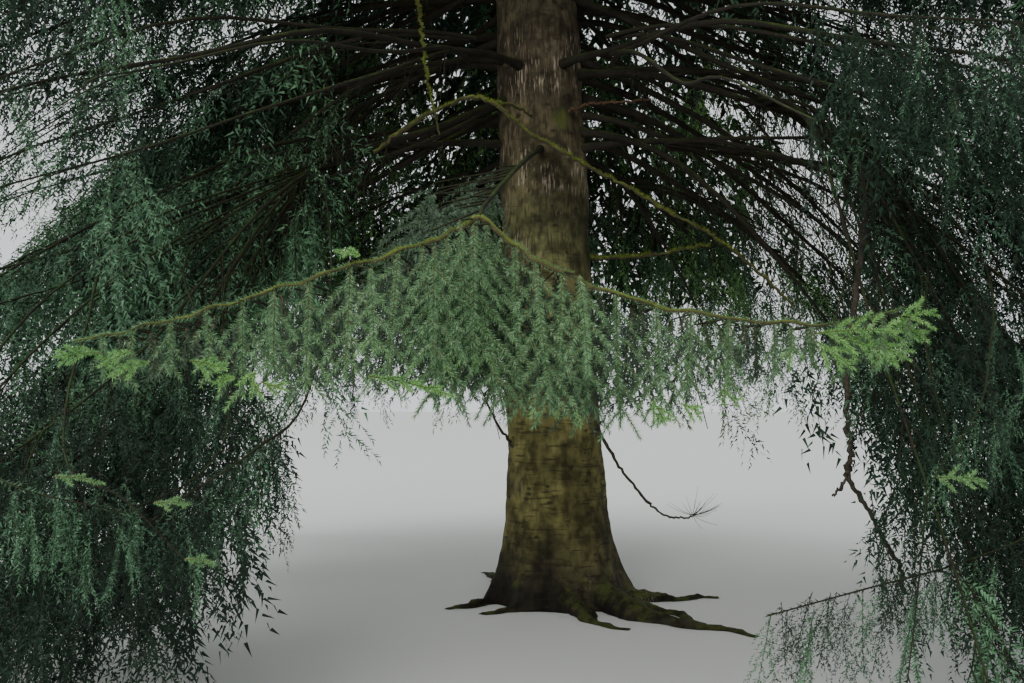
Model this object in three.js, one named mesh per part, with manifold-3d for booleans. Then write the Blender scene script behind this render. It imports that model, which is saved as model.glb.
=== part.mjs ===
// A mature spruce, rooted in level ground: one trunk, sixteen weeping lower boughs that each carry a
// mass of foliage, and twenty-four masses round the trunk above them, up to the leader.
// Millimetres, +Z up. The origin is the centre of the flat cut at ground level, and -Y is the front.
import * as THREE from "three";
import { mergeVertices } from "three/addons/utils/BufferGeometryUtils.js";
import Module from "manifold-3d";

const wasm = await Module();
wasm.setup();

const degree = Math.PI / 180;

// Trunk: taper, lean and root flare.
const treeHeight = 25000;
const stemRadius = 350;
const taperShape = 1.6;
const taperPower = 0.8;
const leaderRadius = 9;
const leanSlope = 0.041;
const trunkSweep = 120;
const flareRadius = 190;
const flareHeight = 420;
const trunkSides = 16;
const trunkSteps = 15;
const ringSpacingPower = 2.2;
const belowGround = 60;
const cutBox = { side: 6000, depth: 1000 };

// Surface roots: where each one runs out, how far, how thick, and how it bends.
// Each crest stays above ground.
const rootSides = 5;
const rootSteps = 4;
const rootCrest = 0.17;
const rootCrestPower = 2.6;
const rootInset = 0.45;
const rootTipRadius = 16;
const rootTaperPower = 0.9;
const surfaceRoots = [
  { azimuth: -58, reach: 1830, thickness: 115, bend: 8 },
  { azimuth: -88, reach: 1300, thickness: 65, bend: 14 },
  { azimuth: -125, reach: 900, thickness: 80, bend: -8 },
  { azimuth: -165, reach: 1050, thickness: 100, bend: 9 },
  { azimuth: 130, reach: 1250, thickness: 100, bend: -12 },
  { azimuth: 62, reach: 1400, thickness: 105, bend: 8 },
  { azimuth: -14, reach: 1250, thickness: 95, bend: 11 },
];

// Crown: how far the boughs reach, and how they rise and then sag with the height they leave the trunk at.
const crownFoot = 2500;
const crownReach = 5650;
const crownTaper = 0.985;
const reachPower = 0.85;
const riseAtFoot = 0.08;
const riseGain = 0.46;
const risePower = 1.3;
const sagAtFoot = 0.55;
const sagAtTop = 0.1;
const sagPower = 0.8;
const frontAzimuth = -93;
const frontDip = 0.511;
const frontLift = 0.693;
const frontNarrowness = 6;
const frontFade = 8;

// Tiers of boughs. A tier's masses share the space between two heights on the trunk,
// cut into equal sectors.
const lowerTiers = [
  { name: "low", from: 1150, to: 3600, leave: 3420, count: 5, turn: 0, reach: 0.95 },
  { name: "middle", from: 3600, to: 4300, leave: 4100, count: 6, turn: 30, reach: 1 },
  { name: "high", from: 4300, to: 5000, leave: 4790, count: 5, turn: 36, reach: 1 },
];
const upperTiers = [
  { name: "crown_1", from: 5000, to: 6950, leave: 6600, count: 5, turn: 0, reach: 1 },
  { name: "crown_2", from: 6950, to: 9200, leave: 8800, count: 5, turn: 36, reach: 1 },
  { name: "crown_3", from: 9200, to: 11700, leave: 11250, count: 4, turn: 20, reach: 1 },
  { name: "crown_4", from: 11700, to: 14400, leave: 13900, count: 3, turn: 50, reach: 1 },
  { name: "crown_5", from: 14400, to: 17400, leave: 16900, count: 3, turn: 110, reach: 1 },
  { name: "crown_6", from: 17400, to: 20700, leave: 20100, count: 2, turn: 10, reach: 1 },
  { name: "crown_7", from: 20700, to: 24800, leave: 23900, count: 2, turn: 80, reach: 1 },
];
const leaveScatter = 60;
const azimuthScatter = 3;
const reachScatter = 0.05;
const frontTurn = -1;
const frontReach = 0.947;

// How each kind of mass branches: pairs of side limbs as shares of the stem, of half the sector
// and of the reach, and the stretches of stem and limb that curtains hang from.
const frontPairs = [[0.18, 0.4, 0.01], [0.64, 0.44, 0.01]];
const lowerPairs = [[0.08, 0.7, 0.2], [0.46, 0.62, 0.25]];
const upperPairs = [[0.18, 0.74, 0.26], [0.53, 0.68, 0.31]];
const lowerStemCurtains = [[0.7, 0.97]];
const upperStemCurtains = [[0.345, 0.49], [0.7, 0.97]];
const limbCurtain = [0.3, 0.97];
const turnScatter = 0.14;
const droopScatter = 0.4;
const hangScatter = 0.3;
const limbTrials = [0.35, 0.7, 1];
const frontHang = 480;
const lowerHang = 1200;
const upperHang = 500;
const upperHangGain = 0.32;
const frontDroop = 180;
const upperDroop = 0.4;

// Limbs. A lower bough is bare to its end, where its mass of foliage starts.
const boughSides = 5;
const boughSteps = 3;
const boughEnd = 0.44;
const frontBoughEnd = 0.914;
const limbRadiusShare = 0.0085;
const stemRadiusShare = 0.0038;
const sideRadiusShare = 0.45;
const tipRadius = 7;
const twigSides = 3;
const sectionTurn = 190 * degree;
const stemSteps = 3;
const limbSteps = 1;
const pairStagger = 0.08;

// Sprays of needles. A curtain hangs from a stretch of limb and ends in three teeth, and a fan points
// outwards from the tip of a stem. Both are flat with a thicker middle. Outlines are in shares of
// width and length.
const curtainTeeth = [1, 0.5, 0];
const curtainNotch = 0.45;
const notchPlace = 0.18;
const shortestTooth = 0.62;
const longestSideTooth = 0.8;
const curtainMiddle = 0.1;
const curtainTrials = [1, 0.85, 0.7, 0.56, 0.44, 0.34];
const curtainTilt = 0.22;
const fanOutline = [
  [0.5, 1],
  [0.55, 0.45],
];
const fanMiddle = 0.3;
const fanWidth = 0.62;
const fanShare = 0.2;
const frontFanShare = 0.05;
const fanRoll = 0.2;
const fanSeat = 28;
const nearTip = 0.98;
const thicknessShare = 1 / 45;

// The seed of everything that varies from bough to bough.
const scatterSeed = 15;
const seedsPerBough = 40;
const sideSeed = 10;

// Clearances.
const jointGap = 0.35;
const spaceMargin = 45;
const groundMargin = 40;

// Meshing: points this near are one, and a limb this steep counts as plumb.
const weldDistance = 1e-3;
const plumbLimit = 0.05;

// A number from 0 to 1 that is always the same for the same bough and purpose.
function scatter(bough, purpose) {
  const wave = Math.sin(bough * 12.9898 + purpose * 78.233 + scatterSeed) * 43758.5453;
  return wave - Math.floor(wave);
}

function heightShare(height) {
  return Math.min(1, Math.max(0, (height - crownFoot) / (treeHeight - crownFoot)));
}

function crownRadius(height) {
  return crownReach * Math.pow(1 - heightShare(height) * crownTaper, reachPower);
}

function trunkAxis(z) {
  return new THREE.Vector3(
    -leanSlope * z * (1 - z / (2 * treeHeight)),
    trunkSweep * Math.sin((Math.PI * z) / treeHeight),
    z,
  );
}

function trunkRadius(z) {
  const share = Math.min(1, Math.max(0, z / treeHeight));
  const taper = stemRadius * Math.pow(1 - Math.pow(share, taperShape), taperPower);
  return Math.max(leaderRadius, taper) + flareRadius * Math.exp(-Math.max(0, z) / flareHeight);
}

// The height that a bough has come to at a distance from the trunk, if it leaves the trunk at this height.
function boughHeight(leave, azimuth, distance) {
  const share = heightShare(leave);
  const front = Math.pow(Math.max(0, Math.cos((azimuth - frontAzimuth) * degree)), frontNarrowness);
  const held = front * Math.pow(1 - share, frontFade);
  const rise = riseAtFoot + riseGain * Math.pow(share, risePower) - frontDip * held;
  const sag = sagAtFoot + (sagAtTop - sagAtFoot) * Math.pow(share, sagPower) - frontLift * held;
  return leave + rise * distance - (sag * distance * distance) / crownRadius(leave);
}

// A point in the crown, by the bough height that it belongs to, its azimuth and its distance
// from the trunk.
function place(leave, azimuth, distance) {
  const axis = trunkAxis(leave);
  return new THREE.Vector3(
    axis.x + distance * Math.cos(azimuth * degree),
    axis.y + distance * Math.sin(azimuth * degree),
    boughHeight(leave, azimuth, distance),
  );
}

// Whether a point lies in a mass's own space: its sector, between two bough heights, clear of
// trunk and ground.
function keepsToSpace(point, space) {
  const axis = trunkAxis((space.from + space.to) / 2);
  const x = point.x - axis.x;
  const y = point.y - axis.y;
  const distance = Math.hypot(x, y);
  const azimuth = Math.atan2(y, x) / degree;
  const turned = ((((azimuth - space.middle) % 360) + 540) % 360) - 180;
  const inside = Math.min(90, space.half - Math.abs(turned));
  const besideWall = distance * Math.sin(inside * degree) > spaceMargin;
  const aboveFloor = point.z > boughHeight(space.from, azimuth, distance) + spaceMargin;
  const underRoof = point.z < boughHeight(space.to, azimuth, distance) - spaceMargin;
  const clearOfTrunk = distance > trunkRadius(point.z) + spaceMargin;
  return besideWall && aboveFloor && underRoof && clearOfTrunk && point.z > groundMargin;
}

function toSolid(geometry) {
  geometry.deleteAttribute("normal");
  geometry.deleteAttribute("uv");
  const merged = mergeVertices(geometry, weldDistance);
  return new wasm.Manifold(
    new wasm.Mesh({
      numProp: 3,
      vertProperties: new Float32Array(merged.attributes.position.array),
      triVerts: new Uint32Array(merged.index.array),
    }),
  );
}

function toGeometry(solid) {
  const mesh = solid.getMesh();
  const geometry = new THREE.BufferGeometry();
  geometry.setAttribute("position", new THREE.BufferAttribute(mesh.vertProperties, mesh.numProp));
  geometry.setIndex(new THREE.BufferAttribute(mesh.triVerts, 1));
  return geometry.toNonIndexed();
}

// Joins solids into one and drops any scrap that touches nothing.
function fuse(solids) {
  const bodies = wasm.Manifold.union(solids).decompose();
  return bodies.reduce((largest, body) => (body.volume() > largest.volume() ? body : largest));
}

// A tapering limb along a path: path(t) gives its middle and radius(t) its thickness, for t from
// 0 to 1. A three-sided twig is nearly flat underneath, where curtains hang, and no edge of it lines
// up with a blade.
function limb(path, radius, steps, sides) {
  const geometry = new THREE.CylinderGeometry(1, 1, 1, sides, steps, false, sectionTurn);
  const position = geometry.attributes.position;
  const nudge = 1e-3;
  for (let i = 0; i < position.count; i++) {
    const t = position.getY(i) + 0.5;
    const ahead = path(Math.min(1, t + nudge));
    const tangent = ahead.sub(path(Math.max(0, t - nudge))).normalize();
    const across = new THREE.Vector3(-tangent.y, tangent.x, 0);
    if (across.length() < plumbLimit) across.set(1, 0, 0);
    across.normalize();
    const binormal = across.clone().cross(tangent);
    const point = path(t)
      .addScaledVector(across, position.getX(i) * radius(t))
      .addScaledVector(binormal, position.getZ(i) * radius(t));
    position.setXYZ(i, point.x, point.y, point.z);
  }
  return toSolid(geometry);
}

// The same path in straight stretches, as a limb of so many steps follows it.
function straightened(path, steps) {
  return (t) => {
    const stretch = Math.min(steps - 1, Math.floor(t * steps));
    return path(stretch / steps).lerp(path((stretch + 1) / steps), t * steps - stretch);
  };
}

// A flat blade with a thicker middle, from its outline and its middle in shares of two directions.
function blade(root, across, along, outline, middle) {
  const at = ([side, share]) => root.clone().addScaledVector(across, side).addScaledVector(along, share);
  const rim = outline.map(at);
  const halfThickness = (along.length() * thicknessShare) / 2;
  const lift = across.clone().cross(along).normalize().multiplyScalar(halfThickness);
  const points = [...rim, at(middle).add(lift), at(middle).sub(lift)];
  const faces = rim.flatMap((point, i) => {
    const next = (i + 1) % rim.length;
    return [rim.length, i, next, rim.length + 1, next, i];
  });
  const geometry = new THREE.BufferGeometry().setFromPoints(points);
  geometry.setIndex(faces);
  return { solid: toSolid(geometry), rim };
}

// A curtain from one point of a limb to the next, hanging down from both.
function curtain(from, to, down, seed) {
  const outline = [[0, 0], [1, 0]];
  curtainTeeth.forEach((place, i) => {
    const length = i === 1 ? 1 : shortestTooth + (longestSideTooth - shortestTooth) * scatter(seed, i);
    if (i > 0) outline.push([place + (i === 1 ? notchPlace : 0.5 - notchPlace), curtainNotch]);
    outline.push([place, length]);
  });
  return blade(from, to.clone().sub(from), down, outline, [0.5, curtainMiddle]);
}

// A fan that points along a direction, wide across another.
function fan(root, along, across, length) {
  const half = (length * fanWidth) / 2;
  const left = fanOutline.map(([share, side]) => [side, share]);
  const right = fanOutline.map(([share, side]) => [-side, share]).reverse();
  return blade(
    root,
    across.clone().multiplyScalar(half),
    along.clone().multiplyScalar(length),
    [[0, 0], ...left, [0, 1], ...right],
    [0, fanMiddle],
  );
}

function trunkShape(extra) {
  const geometry = new THREE.CylinderGeometry(1, 1, 1, trunkSides, trunkSteps);
  const position = geometry.attributes.position;
  for (let i = 0; i < position.count; i++) {
    const step = Math.round((position.getY(i) + 0.5) * trunkSteps);
    const z = step === 0 ? -belowGround : treeHeight * Math.pow(step / trunkSteps, ringSpacingPower);
    const axis = trunkAxis(Math.max(0, z));
    const reach = trunkRadius(z) + extra;
    const x = axis.x + position.getX(i) * reach;
    const y = axis.y - position.getZ(i) * reach;
    position.setXYZ(i, x, y, step === trunkSteps ? z + extra : z);
  }
  return toSolid(geometry);
}

function surfaceRoot({ azimuth, reach, thickness, bend }) {
  const inset = stemRadius * rootInset;
  const path = (t) => {
    const turned = (azimuth + bend * t * t) * degree;
    const distance = inset + (reach - inset) * t;
    const crest = reach * rootCrest * Math.pow(1 - t, rootCrestPower);
    return new THREE.Vector3(distance * Math.cos(turned), distance * Math.sin(turned), crest);
  };
  const radius = (t) => rootTipRadius + (thickness - rootTipRadius) * Math.pow(1 - t, rootTaperPower);
  return limb(path, radius, rootSteps, rootSides);
}

function makeTrunk() {
  const below = new THREE.BoxGeometry(cutBox.side, cutBox.side, cutBox.depth);
  below.translate(0, 0, -cutBox.depth / 2);
  return fuse([trunkShape(0), ...surfaceRoots.map(surfaceRoot)]).subtract(toSolid(below));
}

// A lower bough, from inside the trunk to where its foliage starts, then cut clear of the trunk.
function makeBough(bough, clearTrunk) {
  const path = (t) => place(bough.leave, bough.azimuth, bough.end * t);
  const radius = (t) => bough.reach * (limbRadiusShare + (stemRadiusShare - limbRadiusShare) * t);
  return limb(path, radius, boughSteps, boughSides).subtract(clearTrunk);
}

// The limbs that branch off a mass's stem, nearly in pairs. Each leaves the stem at one share of its
// length and swings to the side of the sector, forward, and in the upper crown down to a lower bough
// height in turn.
function sideLimbs(bough) {
  return bough.pairs.flatMap(([along, spread, forward], pair) =>
    [-1, 1].map((side) => {
      const chance = scatter(bough.number, sideSeed + pair * 2 + side);
      const low = (pair + (side > 0 ? 1 : 0)) % 2;
      return {
        along: along + (side > 0 ? pairStagger : 0),
        turn: side * bough.space.half * spread * (1 - turnScatter * (1 - chance)),
        forward: forward * bough.reach,
        level: bough.leave - bough.droop * low * (1 + droopScatter * (chance - 0.5)),
      };
    }),
  );
}

function makeFoliage(bough, clearTrunk) {
  const { space, leave, azimuth, reach, end } = bough;
  const start = end > 0 ? end + jointGap : 0;
  const stemEnd = reach * (1 - bough.fanShare);
  const stemCurve = (t) => place(leave, azimuth, start + (stemEnd - start) * t);
  const stemPath = straightened(stemCurve, stemSteps);
  const baseRadius = reach * (end > 0 ? stemRadiusShare : limbRadiusShare);
  const stemThickness = (t) => tipRadius + (baseRadius - tipRadius) * (1 - t);
  const parts = [limb(stemCurve, stemThickness, stemSteps, twigSides)];
  const addBlade = (piece) => {
    const fits = piece.rim.every((point) => keepsToSpace(point, space));
    if (fits) parts.push(piece.solid);
    return fits;
  };
  const hang = (path, fromShare, toShare, number) => {
    const from = path(fromShare);
    const to = path(toShare);
    const seed = bough.number * seedsPerBough + number;
    const chance = scatter(seed, 5) - 0.5;
    const tilt = Math.sign(chance) * curtainTilt * (0.5 + Math.abs(chance));
    const down = new THREE.Vector3(-(to.y - from.y), to.x - from.x, 0).normalize().multiplyScalar(tilt);
    down.z = -1;
    const fullLength = bough.hang * (1 + hangScatter * (scatter(seed, 6) - 0.5));
    curtainTrials.some((share) =>
      addBlade(curtain(from, to, down.clone().normalize().multiplyScalar(fullLength * share), seed)),
    );
  };

  bough.stemCurtains.forEach(([from, to], i) => hang(stemPath, from, to, i));
  const tip = stemPath(1);
  const outwards = tip.clone().sub(stemPath(nearTip)).normalize();
  const across = new THREE.Vector3(-outwards.y, outwards.x, fanRoll).normalize();
  tip.addScaledVector(outwards, -fanSeat);
  addBlade(fan(tip, outwards, across, reach * bough.fanShare + fanSeat));

  sideLimbs(bough).forEach((side, number) => {
    const from = start + (stemEnd - start) * side.along;
    const seat = stemPath(side.along).sub(place(leave, azimuth, from));
    const curve = (t) =>
      place(leave + (side.level - leave) * t, azimuth + side.turn * t, from + side.forward * t)
        .addScaledVector(seat, 1 - t);
    const path = straightened(curve, limbSteps);
    if (!limbTrials.map(path).every((point) => keepsToSpace(point, space))) return;
    const thickness = (t) => tipRadius + stemThickness(side.along) * sideRadiusShare * (1 - t);
    parts.push(limb(curve, thickness, limbSteps, twigSides));
    hang(path, ...limbCurtain, sideSeed + number);
  });
  const foliage = fuse(parts);
  return end > 0 ? foliage : fuse([foliage.subtract(clearTrunk)]);
}

function boughsOf(tier, lower, firstNumber) {
  const half = 180 / tier.count;
  return Array.from({ length: tier.count }, (_, i) => {
    const number = firstNumber + i;
    const front = lower && tier.turn === 0 && i === 0;
    const middle = frontAzimuth + tier.turn + i * 2 * half;
    const droop = (i % 2 ? -upperDroop : upperDroop) * (tier.to - tier.from);
    const raised = lower ? tier.leave : tier.leave + Math.min(0, droop);
    const leave = raised + (front ? 1 : 2 * scatter(number, 1) - 1) * leaveScatter;
    const shortened = tier.reach * (1 - reachScatter * (1 - scatter(number, 3)));
    const reach = crownRadius(leave) * (front ? frontReach : shortened);
    return {
      number,
      leave,
      reach,
      azimuth: middle + (front ? frontTurn : (2 * scatter(number, 2) - 1) * azimuthScatter),
      end: lower ? reach * (front ? frontBoughEnd : boughEnd) : 0,
      hang: front ? frontHang : lower ? lowerHang : upperHang + crownRadius(leave) * upperHangGain,
      droop: front ? frontDroop : lower ? 0 : droop,
      fanShare: front ? frontFanShare : fanShare,
      pairs: front ? frontPairs : lower ? lowerPairs : upperPairs,
      stemCurtains: lower ? lowerStemCurtains : upperStemCurtains,
      space: { from: tier.from, to: tier.to, middle, half },
      label: `${tier.name}_${i + 1}`,
    };
  });
}

const bark = new THREE.MeshStandardMaterial({ color: 0x5a4a33, roughness: 0.95, metalness: 0 });
const mossyBark = new THREE.MeshStandardMaterial({ color: 0x3c3c22, roughness: 0.95, metalness: 0 });
const needles = new THREE.MeshStandardMaterial({ color: 0x2f4a33, roughness: 0.6, metalness: 0 });

const tree = new THREE.Group();

function addNode(name, solid, material) {
  const mesh = new THREE.Mesh(toGeometry(solid), material);
  mesh.name = name;
  tree.add(mesh);
}

addNode("trunk", makeTrunk(), bark);

const clearTrunk = trunkShape(jointGap);
let nextNumber = 1;
for (const tier of lowerTiers) {
  for (const bough of boughsOf(tier, true, nextNumber)) {
    addNode(`bough_${bough.label}`, makeBough(bough, clearTrunk), mossyBark);
    addNode(`foliage_${bough.label}`, makeFoliage(bough, clearTrunk), needles);
  }
  nextNumber += tier.count;
}
for (const tier of upperTiers) {
  for (const bough of boughsOf(tier, false, nextNumber)) {
    addNode(`foliage_${bough.label}`, makeFoliage(bough, clearTrunk), needles);
  }
  nextNumber += tier.count;
}

export default tree;
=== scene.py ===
# A mature spruce with weeping lower boughs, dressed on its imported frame. Metres, +Z up, -Y is the front.
import math
from itertools import product

import bpy
import numpy as np
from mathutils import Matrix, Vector, noise


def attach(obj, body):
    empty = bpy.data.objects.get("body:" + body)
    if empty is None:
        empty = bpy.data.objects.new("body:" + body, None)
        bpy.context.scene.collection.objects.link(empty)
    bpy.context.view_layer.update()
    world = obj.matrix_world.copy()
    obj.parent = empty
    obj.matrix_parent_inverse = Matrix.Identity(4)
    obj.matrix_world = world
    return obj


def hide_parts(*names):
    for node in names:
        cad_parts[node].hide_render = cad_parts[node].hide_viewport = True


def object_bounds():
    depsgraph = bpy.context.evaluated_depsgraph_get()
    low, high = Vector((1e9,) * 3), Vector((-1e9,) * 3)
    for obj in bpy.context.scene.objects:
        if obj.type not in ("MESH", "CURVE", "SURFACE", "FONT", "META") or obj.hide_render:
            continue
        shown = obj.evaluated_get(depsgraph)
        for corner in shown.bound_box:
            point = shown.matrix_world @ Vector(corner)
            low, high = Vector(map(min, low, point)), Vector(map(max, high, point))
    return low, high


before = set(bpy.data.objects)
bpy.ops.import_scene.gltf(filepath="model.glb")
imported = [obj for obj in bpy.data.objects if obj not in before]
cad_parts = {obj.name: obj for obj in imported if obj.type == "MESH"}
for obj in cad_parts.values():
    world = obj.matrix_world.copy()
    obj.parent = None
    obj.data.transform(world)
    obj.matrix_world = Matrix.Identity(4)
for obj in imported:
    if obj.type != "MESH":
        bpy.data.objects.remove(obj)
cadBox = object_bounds()
print("frame loaded:", len(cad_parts), "nodes")

# The crown's own rule, as the solids follow it: a bough rises and then sags, by its height up the trunk.
crown = {
    "height": 25.0, "foot": 2.5, "reach": 5.65, "taper": 0.985, "reachPower": 0.85,
    "riseAtFoot": 0.08, "riseGain": 0.46, "risePower": 1.3, "sagAtFoot": 0.55, "sagAtTop": 0.1,
    "sagPower": 0.8,
    "frontAzimuth": -93.0, "frontDip": 0.511, "frontLift": 0.693, "frontNarrowness": 6, "frontFade": 8,
    "frontTurn": -1.0, "frontReach": 0.965, "leaveScatter": 0.06, "azimuthScatter": 3.0, "reachScatter": 0.05,
    "upperDroop": 0.4, "seed": 15,
}

# Tiers: name, foot and top of its space, where boughs leave the trunk, how many, first turn, share of reach.
lowerTiers = [
    ("low", 1.15, 3.6, 3.42, 5, 0, 0.95),
    ("middle", 3.6, 4.3, 4.1, 6, 30, 1),
    ("high", 4.3, 5.0, 4.79, 5, 36, 1),
]
upperTiers = [
    ("crown_1", 5.0, 6.95, 6.6, 5, 0, 1),
    ("crown_2", 6.95, 9.2, 8.8, 5, 36, 1),
    ("crown_3", 9.2, 11.7, 11.25, 4, 20, 1),
    ("crown_4", 11.7, 14.4, 13.9, 3, 50, 1),
    ("crown_5", 14.4, 17.4, 16.9, 3, 110, 1),
    ("crown_6", 17.4, 20.7, 20.1, 2, 10, 1),
    ("crown_7", 20.7, 24.8, 23.9, 2, 80, 1),
]

trunk = {
    "radius": 0.35, "taperShape": 1.6, "taperPower": 0.8, "leaderRadius": 0.009, "lean": 0.041, "sweep": 0.12,
    "flareRadius": 0.19, "flareHeight": 0.42,
}


def scatter(bough, purpose):
    wave = math.sin(bough * 12.9898 + purpose * 78.233 + crown["seed"]) * 43758.5453
    return wave - math.floor(wave)


def heightShare(height):
    return np.clip((height - crown["foot"]) / (crown["height"] - crown["foot"]), 0, 1)


def crownRadius(height):
    return crown["reach"] * (1 - heightShare(height) * crown["taper"]) ** crown["reachPower"]


def trunkAxis(z):
    x = -trunk["lean"] * z * (1 - z / (2 * crown["height"]))
    y = trunk["sweep"] * np.sin(math.pi * z / crown["height"])
    return x, y


def trunkRadius(z):
    share = np.clip(z / crown["height"], 0, 1)
    taper = trunk["radius"] * (1 - share ** trunk["taperShape"]) ** trunk["taperPower"]
    flare = trunk["flareRadius"] * np.exp(-np.maximum(0, z) / trunk["flareHeight"])
    return np.maximum(trunk["leaderRadius"], taper) + flare


def boughHeight(leave, azimuth, distance):
    share = heightShare(leave)
    facing = np.maximum(0, np.cos(np.radians(azimuth - crown["frontAzimuth"])))
    held = facing ** crown["frontNarrowness"] * (1 - share) ** crown["frontFade"]
    rise = crown["riseAtFoot"] + crown["riseGain"] * share ** crown["risePower"] - crown["frontDip"] * held
    sag = crown["sagAtFoot"] + (crown["sagAtTop"] - crown["sagAtFoot"]) * share ** crown["sagPower"]
    sag = sag - crown["frontLift"] * held
    return leave + rise * distance - sag * distance**2 / crownRadius(leave)


def boughsOf(tier, lower, firstNumber):
    name, foot, top, leaveAt, count, turn, reachShare = tier
    half = 180 / count
    boughs = []
    for i in range(count):
        number = firstNumber + i
        front = lower and turn == 0 and i == 0
        middle = crown["frontAzimuth"] + turn + i * 2 * half
        droop = (-1 if i % 2 else 1) * crown["upperDroop"] * (top - foot)
        raised = leaveAt if lower else leaveAt + min(0, droop)
        leave = raised + (1 if front else 2 * scatter(number, 1) - 1) * crown["leaveScatter"]
        shortened = reachShare * (1 - crown["reachScatter"] * (1 - scatter(number, 3)))
        swing = crown["frontTurn"] if front else (2 * scatter(number, 2) - 1) * crown["azimuthScatter"]
        boughs.append({
            "tier": name, "foot": foot, "top": top, "middle": middle, "half": half, "front": front,
            "leave": leave, "azimuth": middle + swing,
            "reach": float(crownRadius(leave)) * (crown["frontReach"] if front else shortened),
        })
    return boughs


# Camera: where the photographer stood, 7.7 m in front of the trunk.
cameraView = {"place": (-0.37, -7.7, 1.5), "pitch": 3.36, "lens": 35.0, "sensorWidth": 36.0}
cameraData = bpy.data.cameras.new("camera")
cameraData.lens = cameraView["lens"]
cameraData.sensor_width = cameraView["sensorWidth"]
cameraData.clip_end = 300
camera = bpy.data.objects.new("camera", cameraData)
camera.location = cameraView["place"]
camera.rotation_euler = (math.radians(90 + cameraView["pitch"]), 0, 0)
bpy.context.collection.objects.link(camera)
bpy.context.scene.camera = camera

# Studio: a pale floor, an even pale sky and two large soft lamps (name, place, size, power, colour).
studio = {
    "floorSize": 240.0, "floorDrop": 0.003, "floorColour": (0.8, 0.8, 0.77, 1), "floorRoughness": 0.9,
    "skyColour": (0.88, 0.91, 0.93, 1), "skyStrength": 1.1, "lampAim": (0, 0, 3),
    "lamps": [
        ("front_lamp", (-5.0, -16.0, 8.0), 9.0, 1300.0, (1, 0.99, 0.96)),
        ("left_lamp", (-18.0, -4.0, 13.0), 10.0, 1500.0, (0.95, 0.98, 1)),
    ],
}


# A mesh piece from an array of points and an array of three-cornered faces.
def addPiece(name, vertices, triangles, material, smooth=True):
    mesh = bpy.data.meshes.new(name)
    mesh.vertices.add(len(vertices))
    mesh.vertices.foreach_set("co", np.ascontiguousarray(vertices, dtype=np.float32).ravel())
    mesh.loops.add(triangles.size)
    mesh.loops.foreach_set("vertex_index", np.ascontiguousarray(triangles, dtype=np.int32).ravel())
    mesh.polygons.add(len(triangles))
    mesh.polygons.foreach_set("loop_start", np.arange(0, triangles.size, 3, dtype=np.int32))
    mesh.polygons.foreach_set("use_smooth", np.full(len(triangles), smooth))
    mesh.update(calc_edges=True)
    mesh.materials.append(material)
    piece = bpy.data.objects.new(name, mesh)
    bpy.context.collection.objects.link(piece)
    return piece


def makeStudio():
    half = studio["floorSize"] / 2
    drop = -studio["floorDrop"]
    corners = np.array([(-half, -half, drop), (half, -half, drop), (half, half, drop), (-half, half, drop)])
    paint = bpy.data.materials.new("pale_floor")
    paint.use_nodes = True
    shader = paint.node_tree.nodes["Principled BSDF"]
    shader.inputs["Base Color"].default_value = studio["floorColour"]
    shader.inputs["Roughness"].default_value = studio["floorRoughness"]
    addPiece("floor", corners, np.array([(0, 1, 2), (0, 2, 3)]), paint, smooth=False)
    sky = bpy.data.worlds.new("sky")
    sky.use_nodes = True
    background = sky.node_tree.nodes["Background"]
    background.inputs["Color"].default_value = studio["skyColour"]
    background.inputs["Strength"].default_value = studio["skyStrength"]
    bpy.context.scene.world = sky
    for name, place, size, power, colour in studio["lamps"]:
        data = bpy.data.lights.new(name, "AREA")
        data.shape = "DISK"
        data.size = size
        data.energy = power
        data.color = colour
        light = bpy.data.objects.new(name, data)
        light.location = place
        aim = Vector(studio["lampAim"]) - light.location
        light.rotation_euler = aim.to_track_quat("-Z", "Y").to_euler()
        bpy.context.collection.objects.link(light)


makeStudio()
print("camera and studio ready")


# Shader helpers. A value is a number, a colour, a vector or the socket that it comes from.
def addNode(tree, kind, settings=None, inputs=None):
    node = tree.nodes.new(kind)
    for key, value in (settings or {}).items():
        setattr(node, key, value)
    for key, value in (inputs or {}).items():
        socket = node.inputs[key]
        if isinstance(value, bpy.types.NodeSocket):
            tree.links.new(value, socket)
        else:
            socket.default_value = (*value, 1) if socket.type == "RGBA" else value
    return node


def addMaths(tree, operation, *values):
    return addNode(tree, "ShaderNodeMath", {"operation": operation}, dict(enumerate(values))).outputs[0]


def addVectorMaths(tree, operation, *values):
    return addNode(tree, "ShaderNodeVectorMath", {"operation": operation}, dict(enumerate(values))).outputs


def addRange(tree, value, low, high, start=0.0, end=1.0, kind="SMOOTHSTEP"):
    inputs = {"Value": value, "From Min": low, "From Max": high, "To Min": start, "To Max": end}
    return addNode(tree, "ShaderNodeMapRange", {"interpolation_type": kind}, inputs).outputs["Result"]


def addNoise(tree, place, scale, detail, stretch=None, roughness=0.5, output="Fac"):
    if stretch is not None:
        place = addVectorMaths(tree, "MULTIPLY", place, stretch)[0]
    inputs = {"Vector": place, "Scale": scale, "Detail": detail, "Roughness": roughness}
    return addNode(tree, "ShaderNodeTexNoise", inputs=inputs).outputs[output]


def mixColour(tree, factor, first, second):
    inputs = {"Factor": factor, 6: first, 7: second}
    return addNode(tree, "ShaderNodeMix", {"data_type": "RGBA"}, inputs).outputs[2]


def brighten(tree, colour, value):
    return addNode(tree, "ShaderNodeHueSaturation", inputs={"Color": colour, "Value": value}).outputs["Color"]


def addBump(tree, shader, height, strength, distance):
    inputs = {"Height": height, "Strength": strength, "Distance": distance}
    bump = addNode(tree, "ShaderNodeBump", inputs=inputs)
    tree.links.new(bump.outputs["Normal"], shader.inputs["Normal"])


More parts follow.
